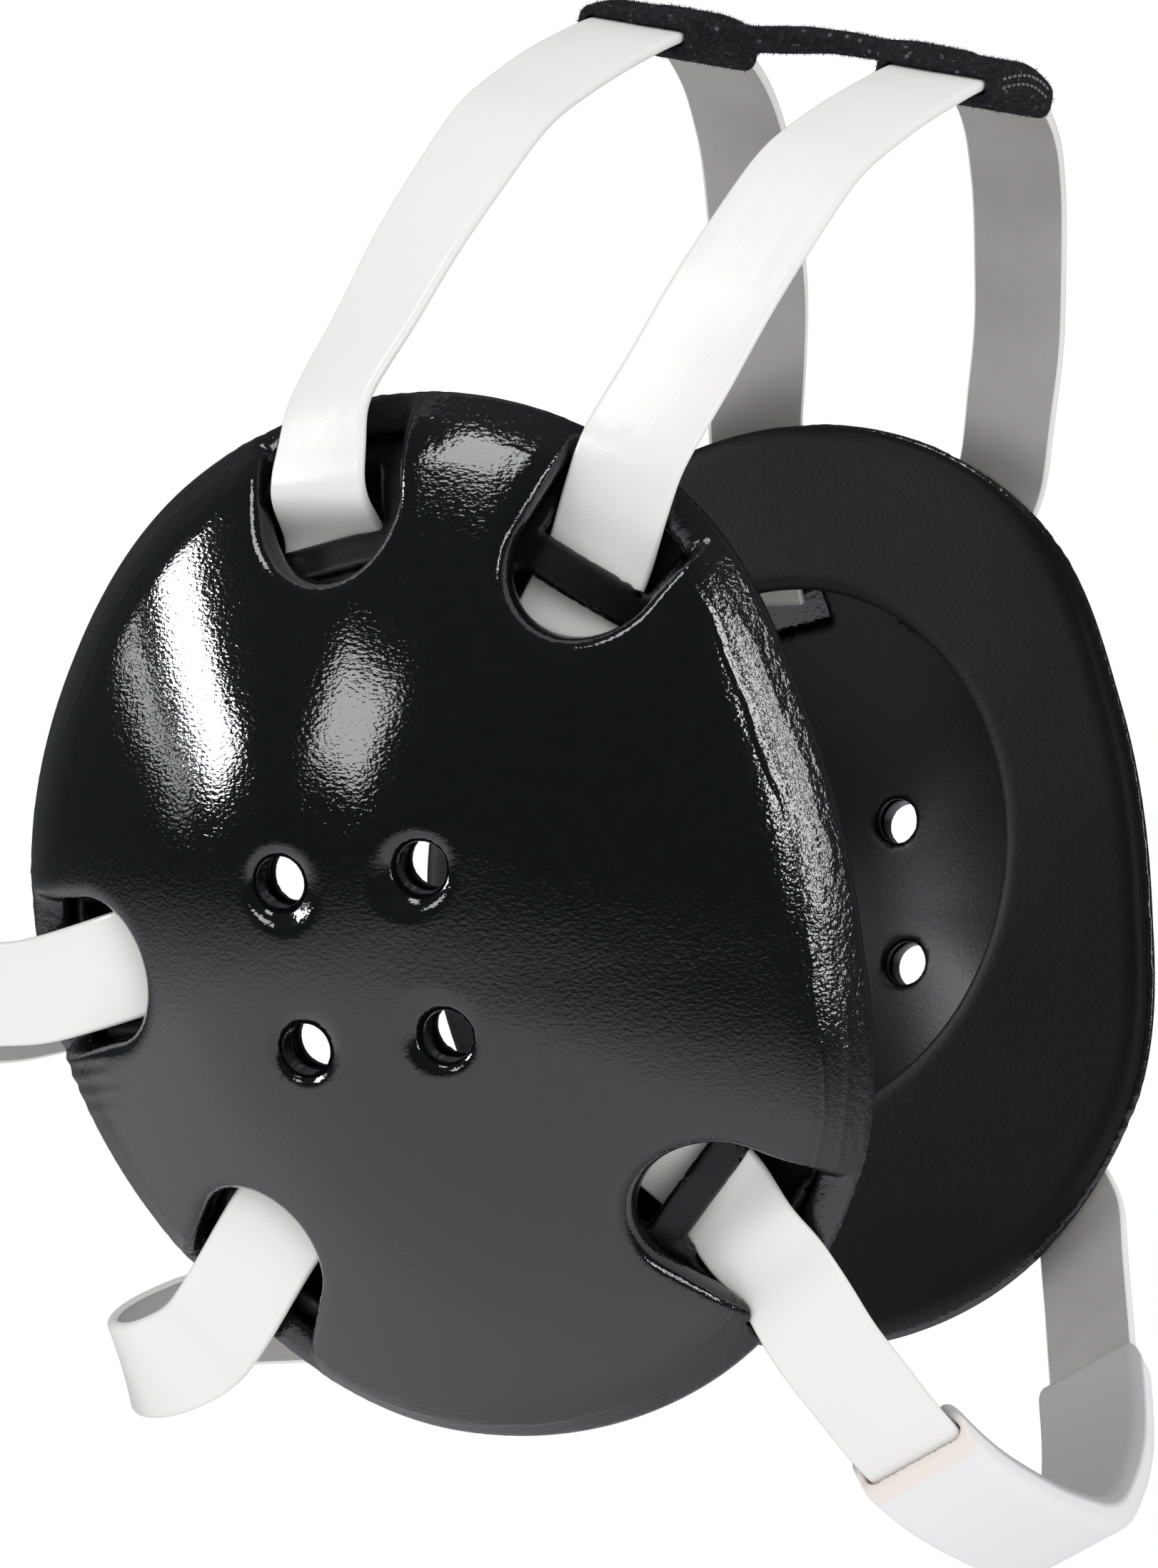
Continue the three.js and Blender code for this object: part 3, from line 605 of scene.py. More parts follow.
def shell_distance(p):
    x, y, z = p.T
    outer = smooth_max(SHELL_OUTER.distance(x, y, z), wall_distance(x, y, z, 0), CREASE_ROUND)
    outer = smooth_max(outer, -z, SKIN_ROUND) + puckers(x, y)
    cavity = np.maximum(SHELL_INNER.distance(x, y, z), wall_distance(x, y, z, RIM_INSET))
    d = smooth_max(outer, -cavity, SKIN_ROUND)
    d = smooth_max(d, -vents(x, y, z, True), SKIN_ROUND)
    for notch in NOTCH.values():
        u = smooth_max(notch.u_distance(x, y), MOUTH_BRIDGE_HEIGHT - z, NOTCH_FLOOR_ROUND)
        d = smooth_max(d, -u, NOTCH_ROUND)
    for room in ROOMS:
        d = smooth_max(d, -band_distance(p, room, **ROOM), ROOM_EDGE_ROUND)
    return d


def ear_distance(x, y):
    a, b = half(EAR_OPENING_WIDTH), half(EAR_OPENING_HEIGHT)
    q = np.hypot(x / a, (y - EAR_OPENING_RISE) / b)
    return (q - 1) * half(a + b)


def liner_distance(p):
    x, y, z = p.T
    outer = np.maximum(LINER_OUTER.distance(x, y, z), wall_distance(x, y, z, RIM_INSET + GAP))
    hollow = np.maximum(LINER_INNER.distance(x, y, z), wall_distance(x, y, z, RIM_INSET + GAP + LINER_FOOT))
    d = smooth_max(smooth_max(outer, -hollow, LINER_EDGE_ROUND), -z, LINER_FOOT_ROUND)
    d = smooth_max(d, -vents(x, y, z, False), LINER_EDGE_ROUND)
    for notch in NOTCH.values():
        slot = smooth_max(notch.slot_distance(x, y), -half(GAP) - z, SLOT_FLOOR_ROUND)
        d = smooth_max(d, -slot, BAR_ROUND)
    for room in ROOMS:
        d = smooth_max(d, -band_distance(p, room, **ROOM), ROOM_EDGE_ROUND)
    return d


def ring_distance(p):
    x, y, z = p.T
    side = np.hypot(x, y) - outline_radius(np.arctan2(y, x)) + PAD_EDGE_INSET
    d = smooth_max(side, z + GAP, PAD_EDGE_ROUND)
    d = smooth_max(d, -z - PAD_RING_BELOW_RIM, 2 * PAD_EDGE_ROUND)
    return smooth_max(d, -ear_distance(x, y), 2 * PAD_EDGE_ROUND)


# Blender objects
def to_metres(points):
    return (points - ORIGIN) * MM


def mesh_object(name, points, faces, smooth=True):
    mesh = bpy.data.meshes.new(name)
    mesh.from_pydata(points.tolist(), [], [list(map(int, f)) for f in faces])
    mesh.validate()
    if smooth:
        mesh.shade_smooth()
    obj = bpy.data.objects.new(name, mesh)
    bpy.context.scene.collection.objects.link(obj)
    return obj


def add_value(obj, name, values):
    attribute = obj.data.attributes.new(name, "FLOAT", "POINT")
    attribute.data.foreach_set("value", np.asarray(values, np.float32))


def place_piece(obj, slot, material, *nodes):
    obj.data.materials.append(material)
    if nodes:
        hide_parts(*nodes)
    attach(obj, "root")
    return obj


CUP_LOW, CUP_HIGH = (-76, -77, -6), (76, 77, 38)
CUP_STEP = 0.9


def both_cups(node, distance, slot, material, marks=None):
    """A skin for a layer of the right cup, and its mirror image for the left cup."""
    points, faces = meshed(distance, CUP_LOW, CUP_HIGH, CUP_STEP)
    values = marks(points) if marks else {}
    right = cup_to_head(points)
    flip = np.array([-1, 1, 1])
    for side, head_points, head_faces in (
        ("right", right, faces),
        ("left", right * flip, faces[:, ::-1]),
    ):
        obj = mesh_object(f"{side}_{node}_skin", to_metres(head_points), head_faces)
        for name, value in values.items():
            add_value(obj, name, value)
        place_piece(obj, slot, material, f"{side}_{node}")


def shell_marks(points):
    """How far past the crease onto the side wall, and off each notch and vent, in mm."""
    x, y, z = points.T
    edge = np.abs(vents(x, y, z, True))
    for notch in NOTCH.values():
        edge = np.minimum(edge, np.abs(notch.u_distance(x, y)))
    return {"crest": wall_distance(x, y, z, 0) - SHELL_OUTER.distance(x, y, z), "edge": edge}


SECTION_ARC = 5


def strap_section(across, through, rounding):
    """A rounded rectangle, anticlockwise, as (across, outward) pairs."""
    pairs = []
    for sx, sy, start in ((1, 1, 0), (-1, 1, 90), (-1, -1, 180), (1, -1, 270)):
        for k in range(SECTION_ARC):
            angle = math.radians(start + 90 * k / (SECTION_ARC - 1))
            pairs.append((
                sx * (half(across) - rounding) + rounding * math.cos(angle),
                sy * (half(through) - rounding) + rounding * math.sin(angle),
            ))
    return np.array(pairs)


def swept(name, line, section, inward):
    places, widths, outwards = line
    across, outward = section[None, :, :1], section[None, :, 1:]
    rings = places[:, None] + across * widths[:, None] + outward * outwards[:, None]
    count, size = rings.shape[:2]
    points = rings.reshape(-1, 3)
    k = np.arange(size)
    faces = []
    for row in range(count - 1):
        a, b = row * size, (row + 1) * size
        faces.append(np.stack([a + k, a + (k + 1) % size, b + (k + 1) % size, b + k], 1))
    faces = [list(f) for f in np.vstack(faces)[:, ::-1]]
    faces.append(list(k))
    faces.append(list((count - 1) * size + k)[::-1])
    obj = mesh_object(name, to_metres(points), faces)
    run = np.concatenate([[0], np.cumsum(np.linalg.norm(np.diff(places, axis=0), axis=1))])
    add_value(obj, "along", np.repeat(run, size))
    add_value(obj, "across", np.tile(section[:, 0], count))
    # inner runs to 1 on the strap's inner face, which the webbing material paints grey as painted shade
    add_value(obj, "inner", np.tile(section[:, 1] / half(STRAP_THICKNESS) * inward, count))
    return obj


# Materials
def new_material(name):
    material = bpy.data.materials.new(name)
    material.use_nodes = True
    nodes, links = material.node_tree.nodes, material.node_tree.links
    return material, nodes, links, nodes["Principled BSDF"]


def socket_values(node, **values):
    for key, value in values.items():
        node.inputs[key.replace("_", " ")].default_value = value


def noise(nodes, links, coords, scale, detail=2.0, roughness=0.5):
    node = nodes.new("ShaderNodeTexNoise")
    socket_values(node, Scale=scale, Detail=detail, Roughness=roughness)
    links.new(coords, node.inputs["Vector"])
    return node.outputs["Fac"]


def math_node(nodes, links, kind, a, b):
    node = nodes.new("ShaderNodeMath")
    node.operation = kind
    for socket, value in zip(node.inputs, (a, b)):
        if isinstance(value, (int, float)):
            socket.default_value = value
        else:
            links.new(value, socket)
    return node.outputs[0]


def bump(nodes, links, height, distance, strength=1.0, normal=None):
    node = nodes.new("ShaderNodeBump")
    node.inputs["Strength"].default_value = strength
    node.inputs["Distance"].default_value = distance
    links.new(height, node.inputs["Height"])
    if normal is not None:
        links.new(normal, node.inputs["Normal"])
    return node.outputs["Normal"]


def attribute(nodes, name):
    node = nodes.new("ShaderNodeAttribute")
    node.attribute_name = name
    return node.outputs["Fac"]


def ramp(nodes, links, value, stops):
    node = nodes.new("ShaderNodeValToRGB")
    ramp_points = node.color_ramp.elements
    while len(ramp_points) < len(stops):
        ramp_points.new(0.5)
    for point, (place, color) in zip(ramp_points, stops):
        point.position = place
        point.color = (*color, 1)
    links.new(value, node.inputs["Fac"])
    return node.outputs["Color"]


def scaled(nodes, links, coords, factors):
    node = nodes.new("ShaderNodeVectorMath")
    node.operation = "MULTIPLY"
    links.new(coords, node.inputs[0])
    node.inputs[1].default_value = factors
    return node.outputs[0]


def span(nodes, links, value, low, high):
    """0 at low, 1 at high, held outside them."""
    node = nodes.new("ShaderNodeMapRange")
    links.new(value, node.inputs["Value"])
    socket_values(node, From_Min=low, From_Max=high)
    return node.outputs["Result"]


CREASE_LINES = ((1.3, 130, 0.3), (0.1, 95, 0.25))


def shell_material():
    material, nodes, links, shader = new_material("black_vinyl_skin")
    coords = nodes.new("ShaderNodeTexCoord").outputs["Object"]
    crest, edge = attribute(nodes, "crest"), attribute(nodes, "edge")
    rim = span(nodes, links, crest, 0.0, 1.5)
    near_edge = span(nodes, links, edge, 2.0, 0.2)
    ripple = noise(nodes, links, scaled(nodes, links, coords, (1, 1, 1.7)), 1300, 1.0, 0.5)
    normal = bump(nodes, links, ripple, 0.00004, 1.0)
    broad = noise(nodes, links, coords, 45, 2.0)
    normal = bump(nodes, links, broad, 0.0012, 0.12, normal)
    wrinkle = noise(nodes, links, coords, 1000, 2.0, 0.6)
    rough_zone = math_node(nodes, links, "MAXIMUM", rim, math_node(nodes, links, "MULTIPLY", near_edge, 0.25))
    rough_wrinkle = math_node(nodes, links, "MULTIPLY", wrinkle, rough_zone)
    normal = bump(nodes, links, rough_wrinkle, 0.00011, 1.0, normal)
    for place, scale, width in CREASE_LINES:
        wobble = math_node(nodes, links, "MULTIPLY_ADD", noise(nodes, links, coords, scale, 3.0), 0.9)
        wobble.node.inputs[2].default_value = -0.45 - place
        away = math_node(nodes, links, "ABSOLUTE", math_node(nodes, links, "ADD", crest, wobble), 0)
        stroke = span(nodes, links, away, width, 0.0)
        broken = span(nodes, links, noise(nodes, links, coords, scale * 0.4, 2.0), 0.42, 0.58)
        line = math_node(nodes, links, "MULTIPLY", stroke, broken)
        normal = bump(nodes, links, line, 0.00006, 1.0, normal)
    links.new(normal, shader.inputs["Normal"])
    dust = noise(nodes, links, coords, 420, 2.0, 0.5)
    base = ramp(nodes, links, dust, [
        (0.35, (0.0034, 0.0036, 0.0045)), (0.7, (0.0046, 0.0048, 0.0058)), (0.86, (0.010, 0.010, 0.011)),
    ])
    pale = nodes.new("ShaderNodeMixRGB")
    links.new(math_node(nodes, links, "MULTIPLY", rim, wrinkle), pale.inputs["Fac"])
    links.new(base, pale.inputs["Color1"])
    pale.inputs["Color2"].default_value = (0.015, 0.0145, 0.015, 1)
    links.new(pale.outputs[0], shader.inputs["Base Color"])
    shine = math_node(nodes, links, "MULTIPLY_ADD", rough_zone, 0.04)
    shine.node.inputs[2].default_value = 0.07
    links.new(shine, shader.inputs["Roughness"])
    return material


def liner_material():
    material, nodes, links, shader = new_material("dark_plastic_liner")
    coords = nodes.new("ShaderNodeTexCoord").outputs["Object"]
    fine = noise(nodes, links, coords, 1400, 3.0, 0.6)
    broad = noise(nodes, links, coords, 60, 2.0)
    links.new(bump(nodes, links, fine, 0.00006, 0.6), shader.inputs["Normal"])
    base = ramp(nodes, links, broad, [(0.3, (0.0014, 0.0014, 0.0018)), (0.7, (0.0022, 0.0022, 0.0026))])
    links.new(base, shader.inputs["Base Color"])
    shader.inputs["IOR"].default_value = 1.3
    shader.inputs["Roughness"].default_value = 0.4
    return material


def ring_material():
    material, nodes, links, shader = new_material("black_pad_skin")
    coords = nodes.new("ShaderNodeTexCoord").outputs["Object"]
    fine = noise(nodes, links, coords, 1100, 3.0, 0.6)
    broad = noise(nodes, links, coords, 50, 2.0)
    links.new(bump(nodes, links, fine, 0.0001, 0.7), shader.inputs["Normal"])
    base = ramp(nodes, links, broad, [(0.3, (0.0024, 0.0024, 0.0024)), (0.7, (0.0048, 0.0048, 0.0048))])
    links.new(base, shader.inputs["Base Color"])
    shader.inputs["IOR"].default_value = 1.25
    shader.inputs["Roughness"].default_value = 0.55
    return material


CHEVRON_WIDTH = 2.0
TWILL_PITCH = 0.62


def strap_material():
    material, nodes, links, shader = new_material("coated_webbing")
    coords = nodes.new("ShaderNodeTexCoord").outputs["Object"]
    along, across, inner = (attribute(nodes, name) for name in ("along", "across", "inner"))
    shifted = math_node(nodes, links, "ADD", across, STRAP_WIDTH)
    chevron = math_node(nodes, links, "PINGPONG", shifted, CHEVRON_WIDTH)
    phase = math_node(nodes, links, "ADD", along, chevron)
    turned = math_node(nodes, links, "MULTIPLY", phase, 2 * math.pi / TWILL_PITCH)
    twill = math_node(nodes, links, "SINE", turned, 0)
    waves = noise(nodes, links, coords, 90, 2.0)
    normal = bump(nodes, links, twill, 0.000006, 1.0)
    normal = bump(nodes, links, waves, 0.0006, 0.2, normal)
    links.new(normal, shader.inputs["Normal"])
    tone = noise(nodes, links, coords, 35, 3.0)
    front = ramp(nodes, links, tone, [(0.3, (0.93, 0.925, 0.915)), (0.7, (0.955, 0.95, 0.94))])
    # Painted shade: the white webbing's back face is painted grey, so the inner faces of the far straps read
    # as shaded
    back = ramp(nodes, links, tone, [(0.3, (0.40, 0.395, 0.385)), (0.7, (0.48, 0.475, 0.465))])
    sides = nodes.new("ShaderNodeMixRGB")
    links.new(math_node(nodes, links, "GREATER_THAN", inner, 0.9), sides.inputs["Fac"])
    links.new(front, sides.inputs["Color1"])
    links.new(back, sides.inputs["Color2"])
    links.new(sides.outputs[0], shader.inputs["Base Color"])
    shader.inputs["Roughness"].default_value = 0.27
    shader.inputs["IOR"].default_value = 1.42
    return material


def pad_material():
    material, nodes, links, shader = new_material("charcoal_fleece")
    coords = nodes.new("ShaderNodeTexCoord").outputs["Object"]
    fuzz = noise(nodes, links, coords, 1100, 4.0, 0.7)
    links.new(bump(nodes, links, fuzz, 0.0006, 1.0), shader.inputs["Normal"])
    mottle = ramp(nodes, links, fuzz, [
        (0.3, (0.010, 0.0092, 0.0115)), (0.55, (0.022, 0.0205, 0.025)), (0.75, (0.05, 0.047, 0.055)),
    ])
    lint = nodes.new("ShaderNodeTexVoronoi")
    lint.inputs["Scale"].default_value = 520
    links.new(coords, lint.inputs["Vector"])
    specks = nodes.new("ShaderNodeMixRGB")
    links.new(span(nodes, links, lint.outputs["Distance"], 0.22, 0.08), specks.inputs["Fac"])
    links.new(mottle, specks.inputs["Color1"])
    specks.inputs["Color2"].default_value = (0.16, 0.155, 0.18, 1)
    links.new(specks.outputs[0], shader.inputs["Base Color"])
    shader.inputs["Roughness"].default_value = 0.9
    shader.inputs["IOR"].default_value = 1.15
    return material


def thread_material():
    material, nodes, links, shader = new_material("grey_thread")
    coords = nodes.new("ShaderNodeTexCoord").outputs["Object"]
    twist = noise(nodes, links, coords, 5000, 2.0)
    links.new(bump(nodes, links, twist, 0.00005, 0.6), shader.inputs["Normal"])
    tone = ramp(nodes, links, twist, [(0.3, (0.12, 0.12, 0.13)), (0.7, (0.22, 0.22, 0.24))])
    links.new(tone, shader.inputs["Base Color"])
    shader.inputs["Roughness"].default_value = 0.6
    return material


def cover_material():
    material, nodes, links, shader = new_material("white_sleeve")
    coords = nodes.new("ShaderNodeTexCoord").outputs["Object"]
    lip = attribute(nodes, "lip")
    fine = noise(nodes, links, coords, 700, 2.0)
    soft = noise(nodes, links, coords, 80, 2.0)
    normal = bump(nodes, links, fine, 0.00006, 0.5)
    normal = bump(nodes, links, soft, 0.0008, 0.2, normal)
    links.new(normal, shader.inputs["Normal"])
    base = ramp(nodes, links, lip, [(0.1, (0.93, 0.925, 0.95)), (0.95, (0.92, 0.845, 0.79))])
    # Painted shade: the sleeve is white vinyl all round, but its side towards the head is painted grey,
    # darker further in
    sides = nodes.new("ShaderNodeMixRGB")
    links.new(span(nodes, links, attribute(nodes, "inner"), 0.2, 1.2), sides.inputs["Fac"])
    links.new(base, sides.inputs["Color1"])
    sides.inputs["Color2"].default_value = (0.47, 0.47, 0.475, 1)
    links.new(sides.outputs[0], shader.inputs["Base Color"])
    shader.inputs["Roughness"].default_value = 0.42
    shader.inputs["Subsurface Weight"].default_value = 0.1
    shader.inputs["Subsurface Radius"].default_value = (0.004, 0.003, 0.003)
    return material


# Crown pad and chin cover as distance fields in the head's frame
TUNNEL_OVERRUN = 4
TUNNEL_EDGE_ROUND = 1.9
TUNNEL_END_ROUND = 1.2
TUNNEL_MOUTH_ROUND = 0.5
WAIST_EDGE_ROUND = 1.3
WAIST_ENDS = (0.03, 0.97)
WAIST_BLEND = 3.0


def crown_distance(p):
    size = {
        "across": STRAP_WIDTH + 2 * (GAP + CROWN_SIDE_WALL),
        "through": STRAP_THICKNESS + 2 * (GAP + CROWN_WALL),
        "rounding": TUNNEL_EDGE_ROUND,
    }
    reach = half(CROWN_PAD_WIDTH) + TUNNEL_OVERRUN
    tunnels = [middle_stretch(STRAPS[name], reach) for name in ("front_top", "rear_top")]
    d = np.minimum(*(band_distance(p, line, **size) for line in tunnels))
    d = smooth_max(d, np.abs(p[:, 0]) - half(CROWN_PAD_WIDTH), TUNNEL_END_ROUND)
    forward = unit(CROWN_FRONT - CROWN_REAR)
    outward = np.cross(forward, [1, 0, 0])
    rel = p - CROWN_REAR
    along = rel @ forward / CROWN_STRAP_SPACING
    table = np.array(CROWN_WAIST)
    rise = np.interp(along, table[:, 0], table[:, 1]) * CROWN_WAIST_ARCH
    flare = np.interp(along, table[:, 0], table[:, 2])
    width = half(CROWN_WAIST_WIDTH + (CROWN_PAD_WIDTH - CROWN_WAIST_WIDTH) * flare)
    qx = np.abs(p[:, 0]) - width + WAIST_EDGE_ROUND
    qz = np.abs(rel @ outward - rise) - half(CROWN_WAIST_THICKNESS) + WAIST_EDGE_ROUND
    outside = np.hypot(np.maximum(qx, 0), np.maximum(qz, 0))
    waist = outside + np.minimum(np.maximum(qx, qz), 0) - WAIST_EDGE_ROUND
    past_ends = np.maximum(WAIST_ENDS[0] - along, along - WAIST_ENDS[1]) * CROWN_STRAP_SPACING
    waist = np.maximum(waist, past_ends)
    d = smooth_min(d, waist, WAIST_BLEND)
    for line in tunnels:
        d = smooth_max(d, -band_distance(p, line, **ROOM), TUNNEL_MOUTH_ROUND)
    return d


def middle_stretch(line, reach):
    keep = np.abs(line[0][:, 0]) < reach
    return tuple(values[keep] for values in line)


COVER_STEP = 0.45
COVER_LOW = (-half(COVER_SPAN) - 2, -82, -100)
COVER_HIGH = (half(COVER_SPAN) + 2, -48, -62)
COVER_OVERRUN = 6
COVER_EDGE_ROUND = 1.7
COVER_END_ROUND = 1.8
COVER_ROOM_ROUND = 1.1
COVER_MOUTH_ROUND = 1.2
COVER_LIP_REACH = 3
COVER_LIP_FADE = 2.2
CHIN_LINE = middle_stretch(STRAPS["chin"], half(COVER_SPAN) + COVER_OVERRUN)


def cover_distance(p):
    across = STRAP_WIDTH + 2 * (GAP + COVER_SIDE_WALL)
    through = STRAP_THICKNESS + 2 * (GAP + COVER_WALL)
    outer = band_distance(p, CHIN_LINE, across, through, COVER_EDGE_ROUND)
    d = smooth_max(outer, np.abs(p[:, 0]) - half(COVER_SPAN), COVER_END_ROUND)
    room = {**ROOM, "rounding": COVER_ROOM_ROUND}
    return smooth_max(d, -band_distance(p, CHIN_LINE, **room), COVER_MOUTH_ROUND)


def fitted(name, distance, low, high, step):
    points, faces = meshed(distance, low, high, step)
    return points, faces, mesh_object(name, to_metres(points), faces)


def build_straps(material):
    section = strap_section(STRAP_WIDTH, STRAP_THICKNESS, STRAP_EDGE_ROUND)
    for name, line in STRAPS.items():
        obj = swept(f"{name}_webbing", line, section, -ROUTES[name][3])
        place_piece(obj, "strap", material, f"{name}_strap")


FIBRE_COUNT = 9000
FIBRE_LENGTH = 0.55
FIBRE_WIDTH = 0.07
FIBRE_LEAN = 0.9
FIBRE_LENGTH_SHARES = (0.5, 1.2)
FIBRE_SEED = 7
FIBRE_CORNERS = (0, 2.094, 4.189)


def fibre_mesh(points, faces):
    """Thin closed spikes that stand out of a surface, leaning every way."""
    rng = np.random.default_rng(FIBRE_SEED)
    corners = points[faces[rng.integers(len(faces), size=FIBRE_COUNT)]]
    root = corners.mean(1)
    normal = unit(np.cross(corners[:, 2] - corners[:, 0], corners[:, 3] - corners[:, 1]))
    lean = rng.normal(size=(FIBRE_COUNT, 3))
    side = unit(np.cross(normal, lean))
    other = np.cross(normal, side)
    length = FIBRE_LENGTH * rng.uniform(*FIBRE_LENGTH_SHARES, (FIBRE_COUNT, 1))
    tip = root + unit(normal + FIBRE_LEAN * other) * length
    sunk = root - normal * FIBRE_WIDTH
    ring = [sunk + FIBRE_WIDTH * (side * math.cos(a) + other * math.sin(a)) for a in FIBRE_CORNERS]
    verts = np.stack([*ring, tip], 1).reshape(-1, 3)
    first = np.arange(FIBRE_COUNT)[:, None] * 4
    sides = ((2, 1, 0), (0, 1, 3), (1, 2, 3), (2, 0, 3))
    return verts, np.vstack([first + np.array(face) for face in sides])


STITCH_ROWS = (0.9, -0.35)
STITCH_SPAN = 11
STITCH_RADIUS = 0.24
STITCH_SIDES = 6
# Shares of a stitch's length and of its radius
STITCH_PROFILE = ((-0.1, 0.3), (0.1, 0.85), (0.5, 1), (0.9, 0.85), (1.1, 0.3))


def stitch_mesh():
    """Two rows of short stitches along the pad's front edge."""
    places, widths, outwards = middle_stretch(STRAPS["front_top"], STITCH_SPAN)
    front = np.sign(widths[0] @ (CROWN_FRONT - CROWN_REAR))
    upward = np.sign(outwards[0][2])
    reach = half(STRAP_WIDTH) + GAP + CROWN_SIDE_WALL
    verts, faces = [], []
    for rise in STITCH_ROWS:
        row = settle(places + widths * front * reach + outwards * upward * rise, crown_distance, 4)
        for k in range(0, len(row) - 1, 2):
            axis = row[k + 1] - row[k]
            side = unit(np.cross(axis, UPRIGHT))
            up = unit(np.cross(side, axis))
            first = len(verts)
            for share, radius in STITCH_PROFILE:
                for j in range(STITCH_SIDES):
                    a = 2 * math.pi * j / STITCH_SIDES
                    swing = side * math.cos(a) + up * math.sin(a)
                    verts.append(row[k] + axis * share + swing * STITCH_RADIUS * radius)
            last_ring = len(STITCH_PROFILE) - 1
            for ring in range(last_ring):
                for j in range(STITCH_SIDES):
                    a, b = first + ring * STITCH_SIDES, first + (ring + 1) * STITCH_SIDES
                    n = (j + 1) % STITCH_SIDES
                    faces.append([a + j, b + j, b + n, a + n])
            faces.append([first + j for j in range(STITCH_SIDES)])
            faces.append([first + last_ring * STITCH_SIDES + j for j in range(STITCH_SIDES)][::-1])
    return np.array(verts), faces


CROWN_STEP = 0.6
CROWN_LOW = (-half(CROWN_PAD_WIDTH) - 2, -60, CROWN_RISE - 22)
CROWN_HIGH = (half(CROWN_PAD_WIDTH) + 2, 8, CROWN_RISE + 6)


def build_crown_pad(material):
    points, faces, obj = fitted("crown_pad_fleece", crown_distance, CROWN_LOW, CROWN_HIGH, CROWN_STEP)
    place_piece(obj, "crown_pad", material, "crown_pad")
    verts, spikes = fibre_mesh(points, faces)
    fibres = mesh_object("crown_pad_fibres", to_metres(verts), spikes, smooth=False)
    place_piece(fibres, "crown_pad", material)
    verts, rows = stitch_mesh()
    place_piece(mesh_object("crown_pad_stitches", to_metres(verts), rows), "crown_pad", thread_material())


def build_chin_cover(material):
    points, _, obj = fitted("chin_cover_sleeve", cover_distance, COVER_LOW, COVER_HIGH, COVER_STEP)
    past_lip = np.abs(points[:, 0]) - half(COVER_SPAN) + COVER_LIP_REACH
    add_value(obj, "lip", np.clip(past_lip / COVER_LIP_FADE, 0, 1))
    # inner measures how far towards the head each point lies from the strap's line; the sleeve material
    # paints that side grey as painted shade
    places, _, outwards = (values[::3] for values in CHIN_LINE)
    nearest = ((points[:, None] - places[None]) ** 2).sum(2).argmin(1)
    inward = outwards[nearest] * -ROUTES["chin"][3]
    add_value(obj, "inner", ((points - places[nearest]) * inward).sum(1))
    place_piece(obj, "chin_cover", material, "chin_cover")


# Camera, fitted to the photograph
CAMERA_PLACE = np.array([-986.217, -357.352, 49.982])
CAMERA_RIGHT = np.array([0.347970, -0.937100, 0.027590])
CAMERA_UP = np.array([0.020417, 0.036997, 0.999107])
SENSOR_HEIGHT = 36
IMAGE_HEIGHT = 2196
FOCAL_PIXELS = 10029.8


def build_camera():
    data = bpy.data.cameras.new("camera")
    data.sensor_fit = "VERTICAL"
    data.sensor_height = SENSOR_HEIGHT
    data.lens = FOCAL_PIXELS * SENSOR_HEIGHT / IMAGE_HEIGHT
    camera = bpy.data.objects.new("camera", data)
    bpy.context.scene.collection.objects.link(camera)
    back = np.cross(CAMERA_RIGHT, CAMERA_UP)
    turn_matrix = Matrix(np.stack([CAMERA_RIGHT, CAMERA_UP, back], 1).tolist()).to_4x4()
    camera.matrix_world = Matrix.Translation(to_metres(CAMERA_PLACE).tolist()) @ turn_matrix
    bpy.context.scene.camera = camera


# Studio
# Rows: the spot of the right cup that mirrors the box, in mm; its azimuth, elevation, width,
# height and roll in degrees; and its brightness
SOFTBOXES = {
    "strip_box": ((-27, 39, 21), 110.5, 18, 11, 32, 57, 32),
    "low_box": ((-36, 34, 17), 101, 9.5, 4, 26, 66, 5.5),
    "side_box": ((-1, 34, 29), 156.5, 21.5, 17, 17, -15, 9.5),
    "top_box": ((8, 64, 11), 163, 69, 16, 26, 0, 9),
    "front_box": ((50, 28, 5), 272.5, 16, 5, 34, 0, 15),
    "edge_box": ((50, 28, 5), 264, 13, 2, 18, 0, 24),
}
BOX_DISTANCE = 1.5
SOFTBOX_COLOR = (0.97, 0.97, 1.0)


def softbox(name, spot, azimuth, elevation, width, height, roll, brightness):
    """A softbox that a spot of the right cup mirrors towards the camera."""
    az, el, turned = (math.radians(angle) for angle in (azimuth, elevation, roll))
    direction = np.array([math.cos(az) * math.cos(el), math.sin(az) * math.cos(el), math.sin(el)])
    level = unit(np.cross([0, 0, 1], direction))
    steep = np.cross(direction, level)
    side = level * math.cos(turned) + steep * math.sin(turned)
    up = steep * math.cos(turned) - level * math.sin(turned)
    data = bpy.data.lights.new(name, "AREA")
    data.shape = "RECTANGLE"
    data.size, data.size_y = (2 * BOX_DISTANCE * math.tan(math.radians(half(a))) for a in (width, height))
    data.color = SOFTBOX_COLOR
    data.energy = brightness * math.pi * data.size * data.size_y
    light = bpy.data.objects.new(name, data)
    bpy.context.scene.collection.objects.link(light)
    light.visible_diffuse = False
    place = to_metres(cup_to_head(np.array(spot, float))) + direction * BOX_DISTANCE
    turn_matrix = Matrix(np.stack([side, up, direction], 1).tolist()).to_4x4()
    light.matrix_world = Matrix.Translation(place.tolist()) @ turn_matrix


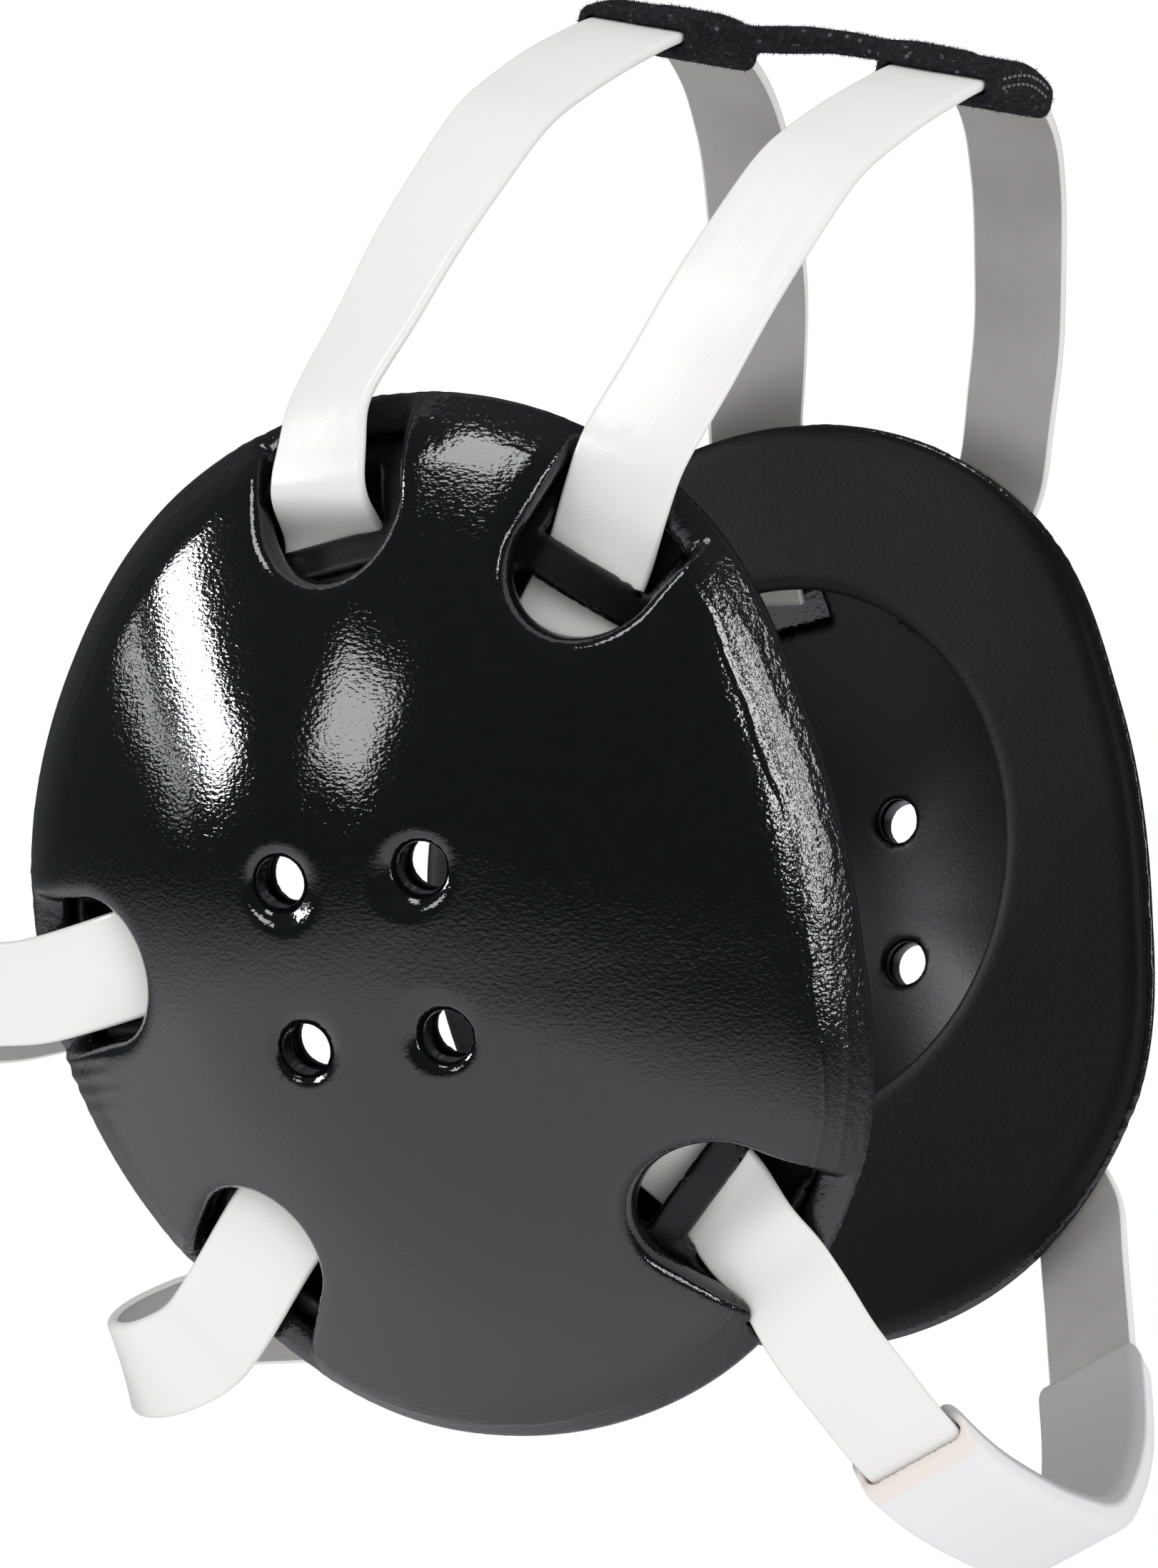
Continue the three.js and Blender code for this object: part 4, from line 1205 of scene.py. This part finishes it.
def build_world():
    """White to the camera, soft light for matt surfaces and a dark room for glossy ones."""
    world = bpy.data.worlds.new("studio")
    bpy.context.scene.world = world
    world.use_nodes = True
    nodes, links = world.node_tree.nodes, world.node_tree.links
    split = nodes.new("ShaderNodeSeparateXYZ")
    links.new(nodes.new("ShaderNodeTexCoord").outputs["Generated"], split.inputs[0])
    height = math_node(nodes, links, "MULTIPLY_ADD", split.outputs["Z"], 0.5)
    height.node.inputs[2].default_value = 0.5
    soft = ramp(nodes, links, height, [
        (0.0, (0.86, 0.86, 0.86)), (0.5, (0.94, 0.94, 0.94)), (1.0, (1.0, 1.0, 1.0)),
    ])
    front_low, rear_low = (1.5, 1.5, 1.58), (0.42, 0.42, 0.44)
    level, high = (0.075, 0.077, 0.085), (0.11, 0.112, 0.125)
    front = ramp(nodes, links, height, [(0.30, front_low), (0.455, level), (0.8, high)])
    behind = ramp(nodes, links, height, [(0.30, rear_low), (0.455, level), (0.8, high)])
    backward = nodes.new("ShaderNodeMixRGB")
    links.new(span(nodes, links, split.outputs["X"], -0.1, 0.6), backward.inputs["Fac"])
    links.new(front, backward.inputs["Color1"])
    links.new(behind, backward.inputs["Color2"])
    gloss = backward.outputs[0]
    path = nodes.new("ShaderNodeLightPath")
    mixed = soft
    for ray, color in (("Is Glossy Ray", gloss), ("Is Camera Ray", None)):
        mix = nodes.new("ShaderNodeMixRGB")
        links.new(path.outputs[ray], mix.inputs["Fac"])
        links.new(mixed, mix.inputs["Color1"])
        if color:
            links.new(color, mix.inputs["Color2"])
        else:
            mix.inputs["Color2"].default_value = (1, 1, 1, 1)
        mixed = mix.outputs[0]
    links.new(mixed, nodes["Background"].inputs["Color"])


def build_studio():
    for name, row in SOFTBOXES.items():
        softbox(name, *row)
    build_world()


build_camera()
both_cups("ear_shell", shell_distance, "shell", shell_material(), shell_marks)
both_cups("ear_liner", liner_distance, "liner", liner_material())
both_cups("pad_ring", ring_distance, "liner", ring_material())
build_straps(strap_material())
build_crown_pad(pad_material())
build_chin_cover(cover_material())
build_studio()
bpy.context.scene.view_settings.view_transform = "Standard"

boxes = {"cad": cad_box, "visual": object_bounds()}
{key: [[float(v) for v in corner] for corner in box] for key, box in boxes.items()}
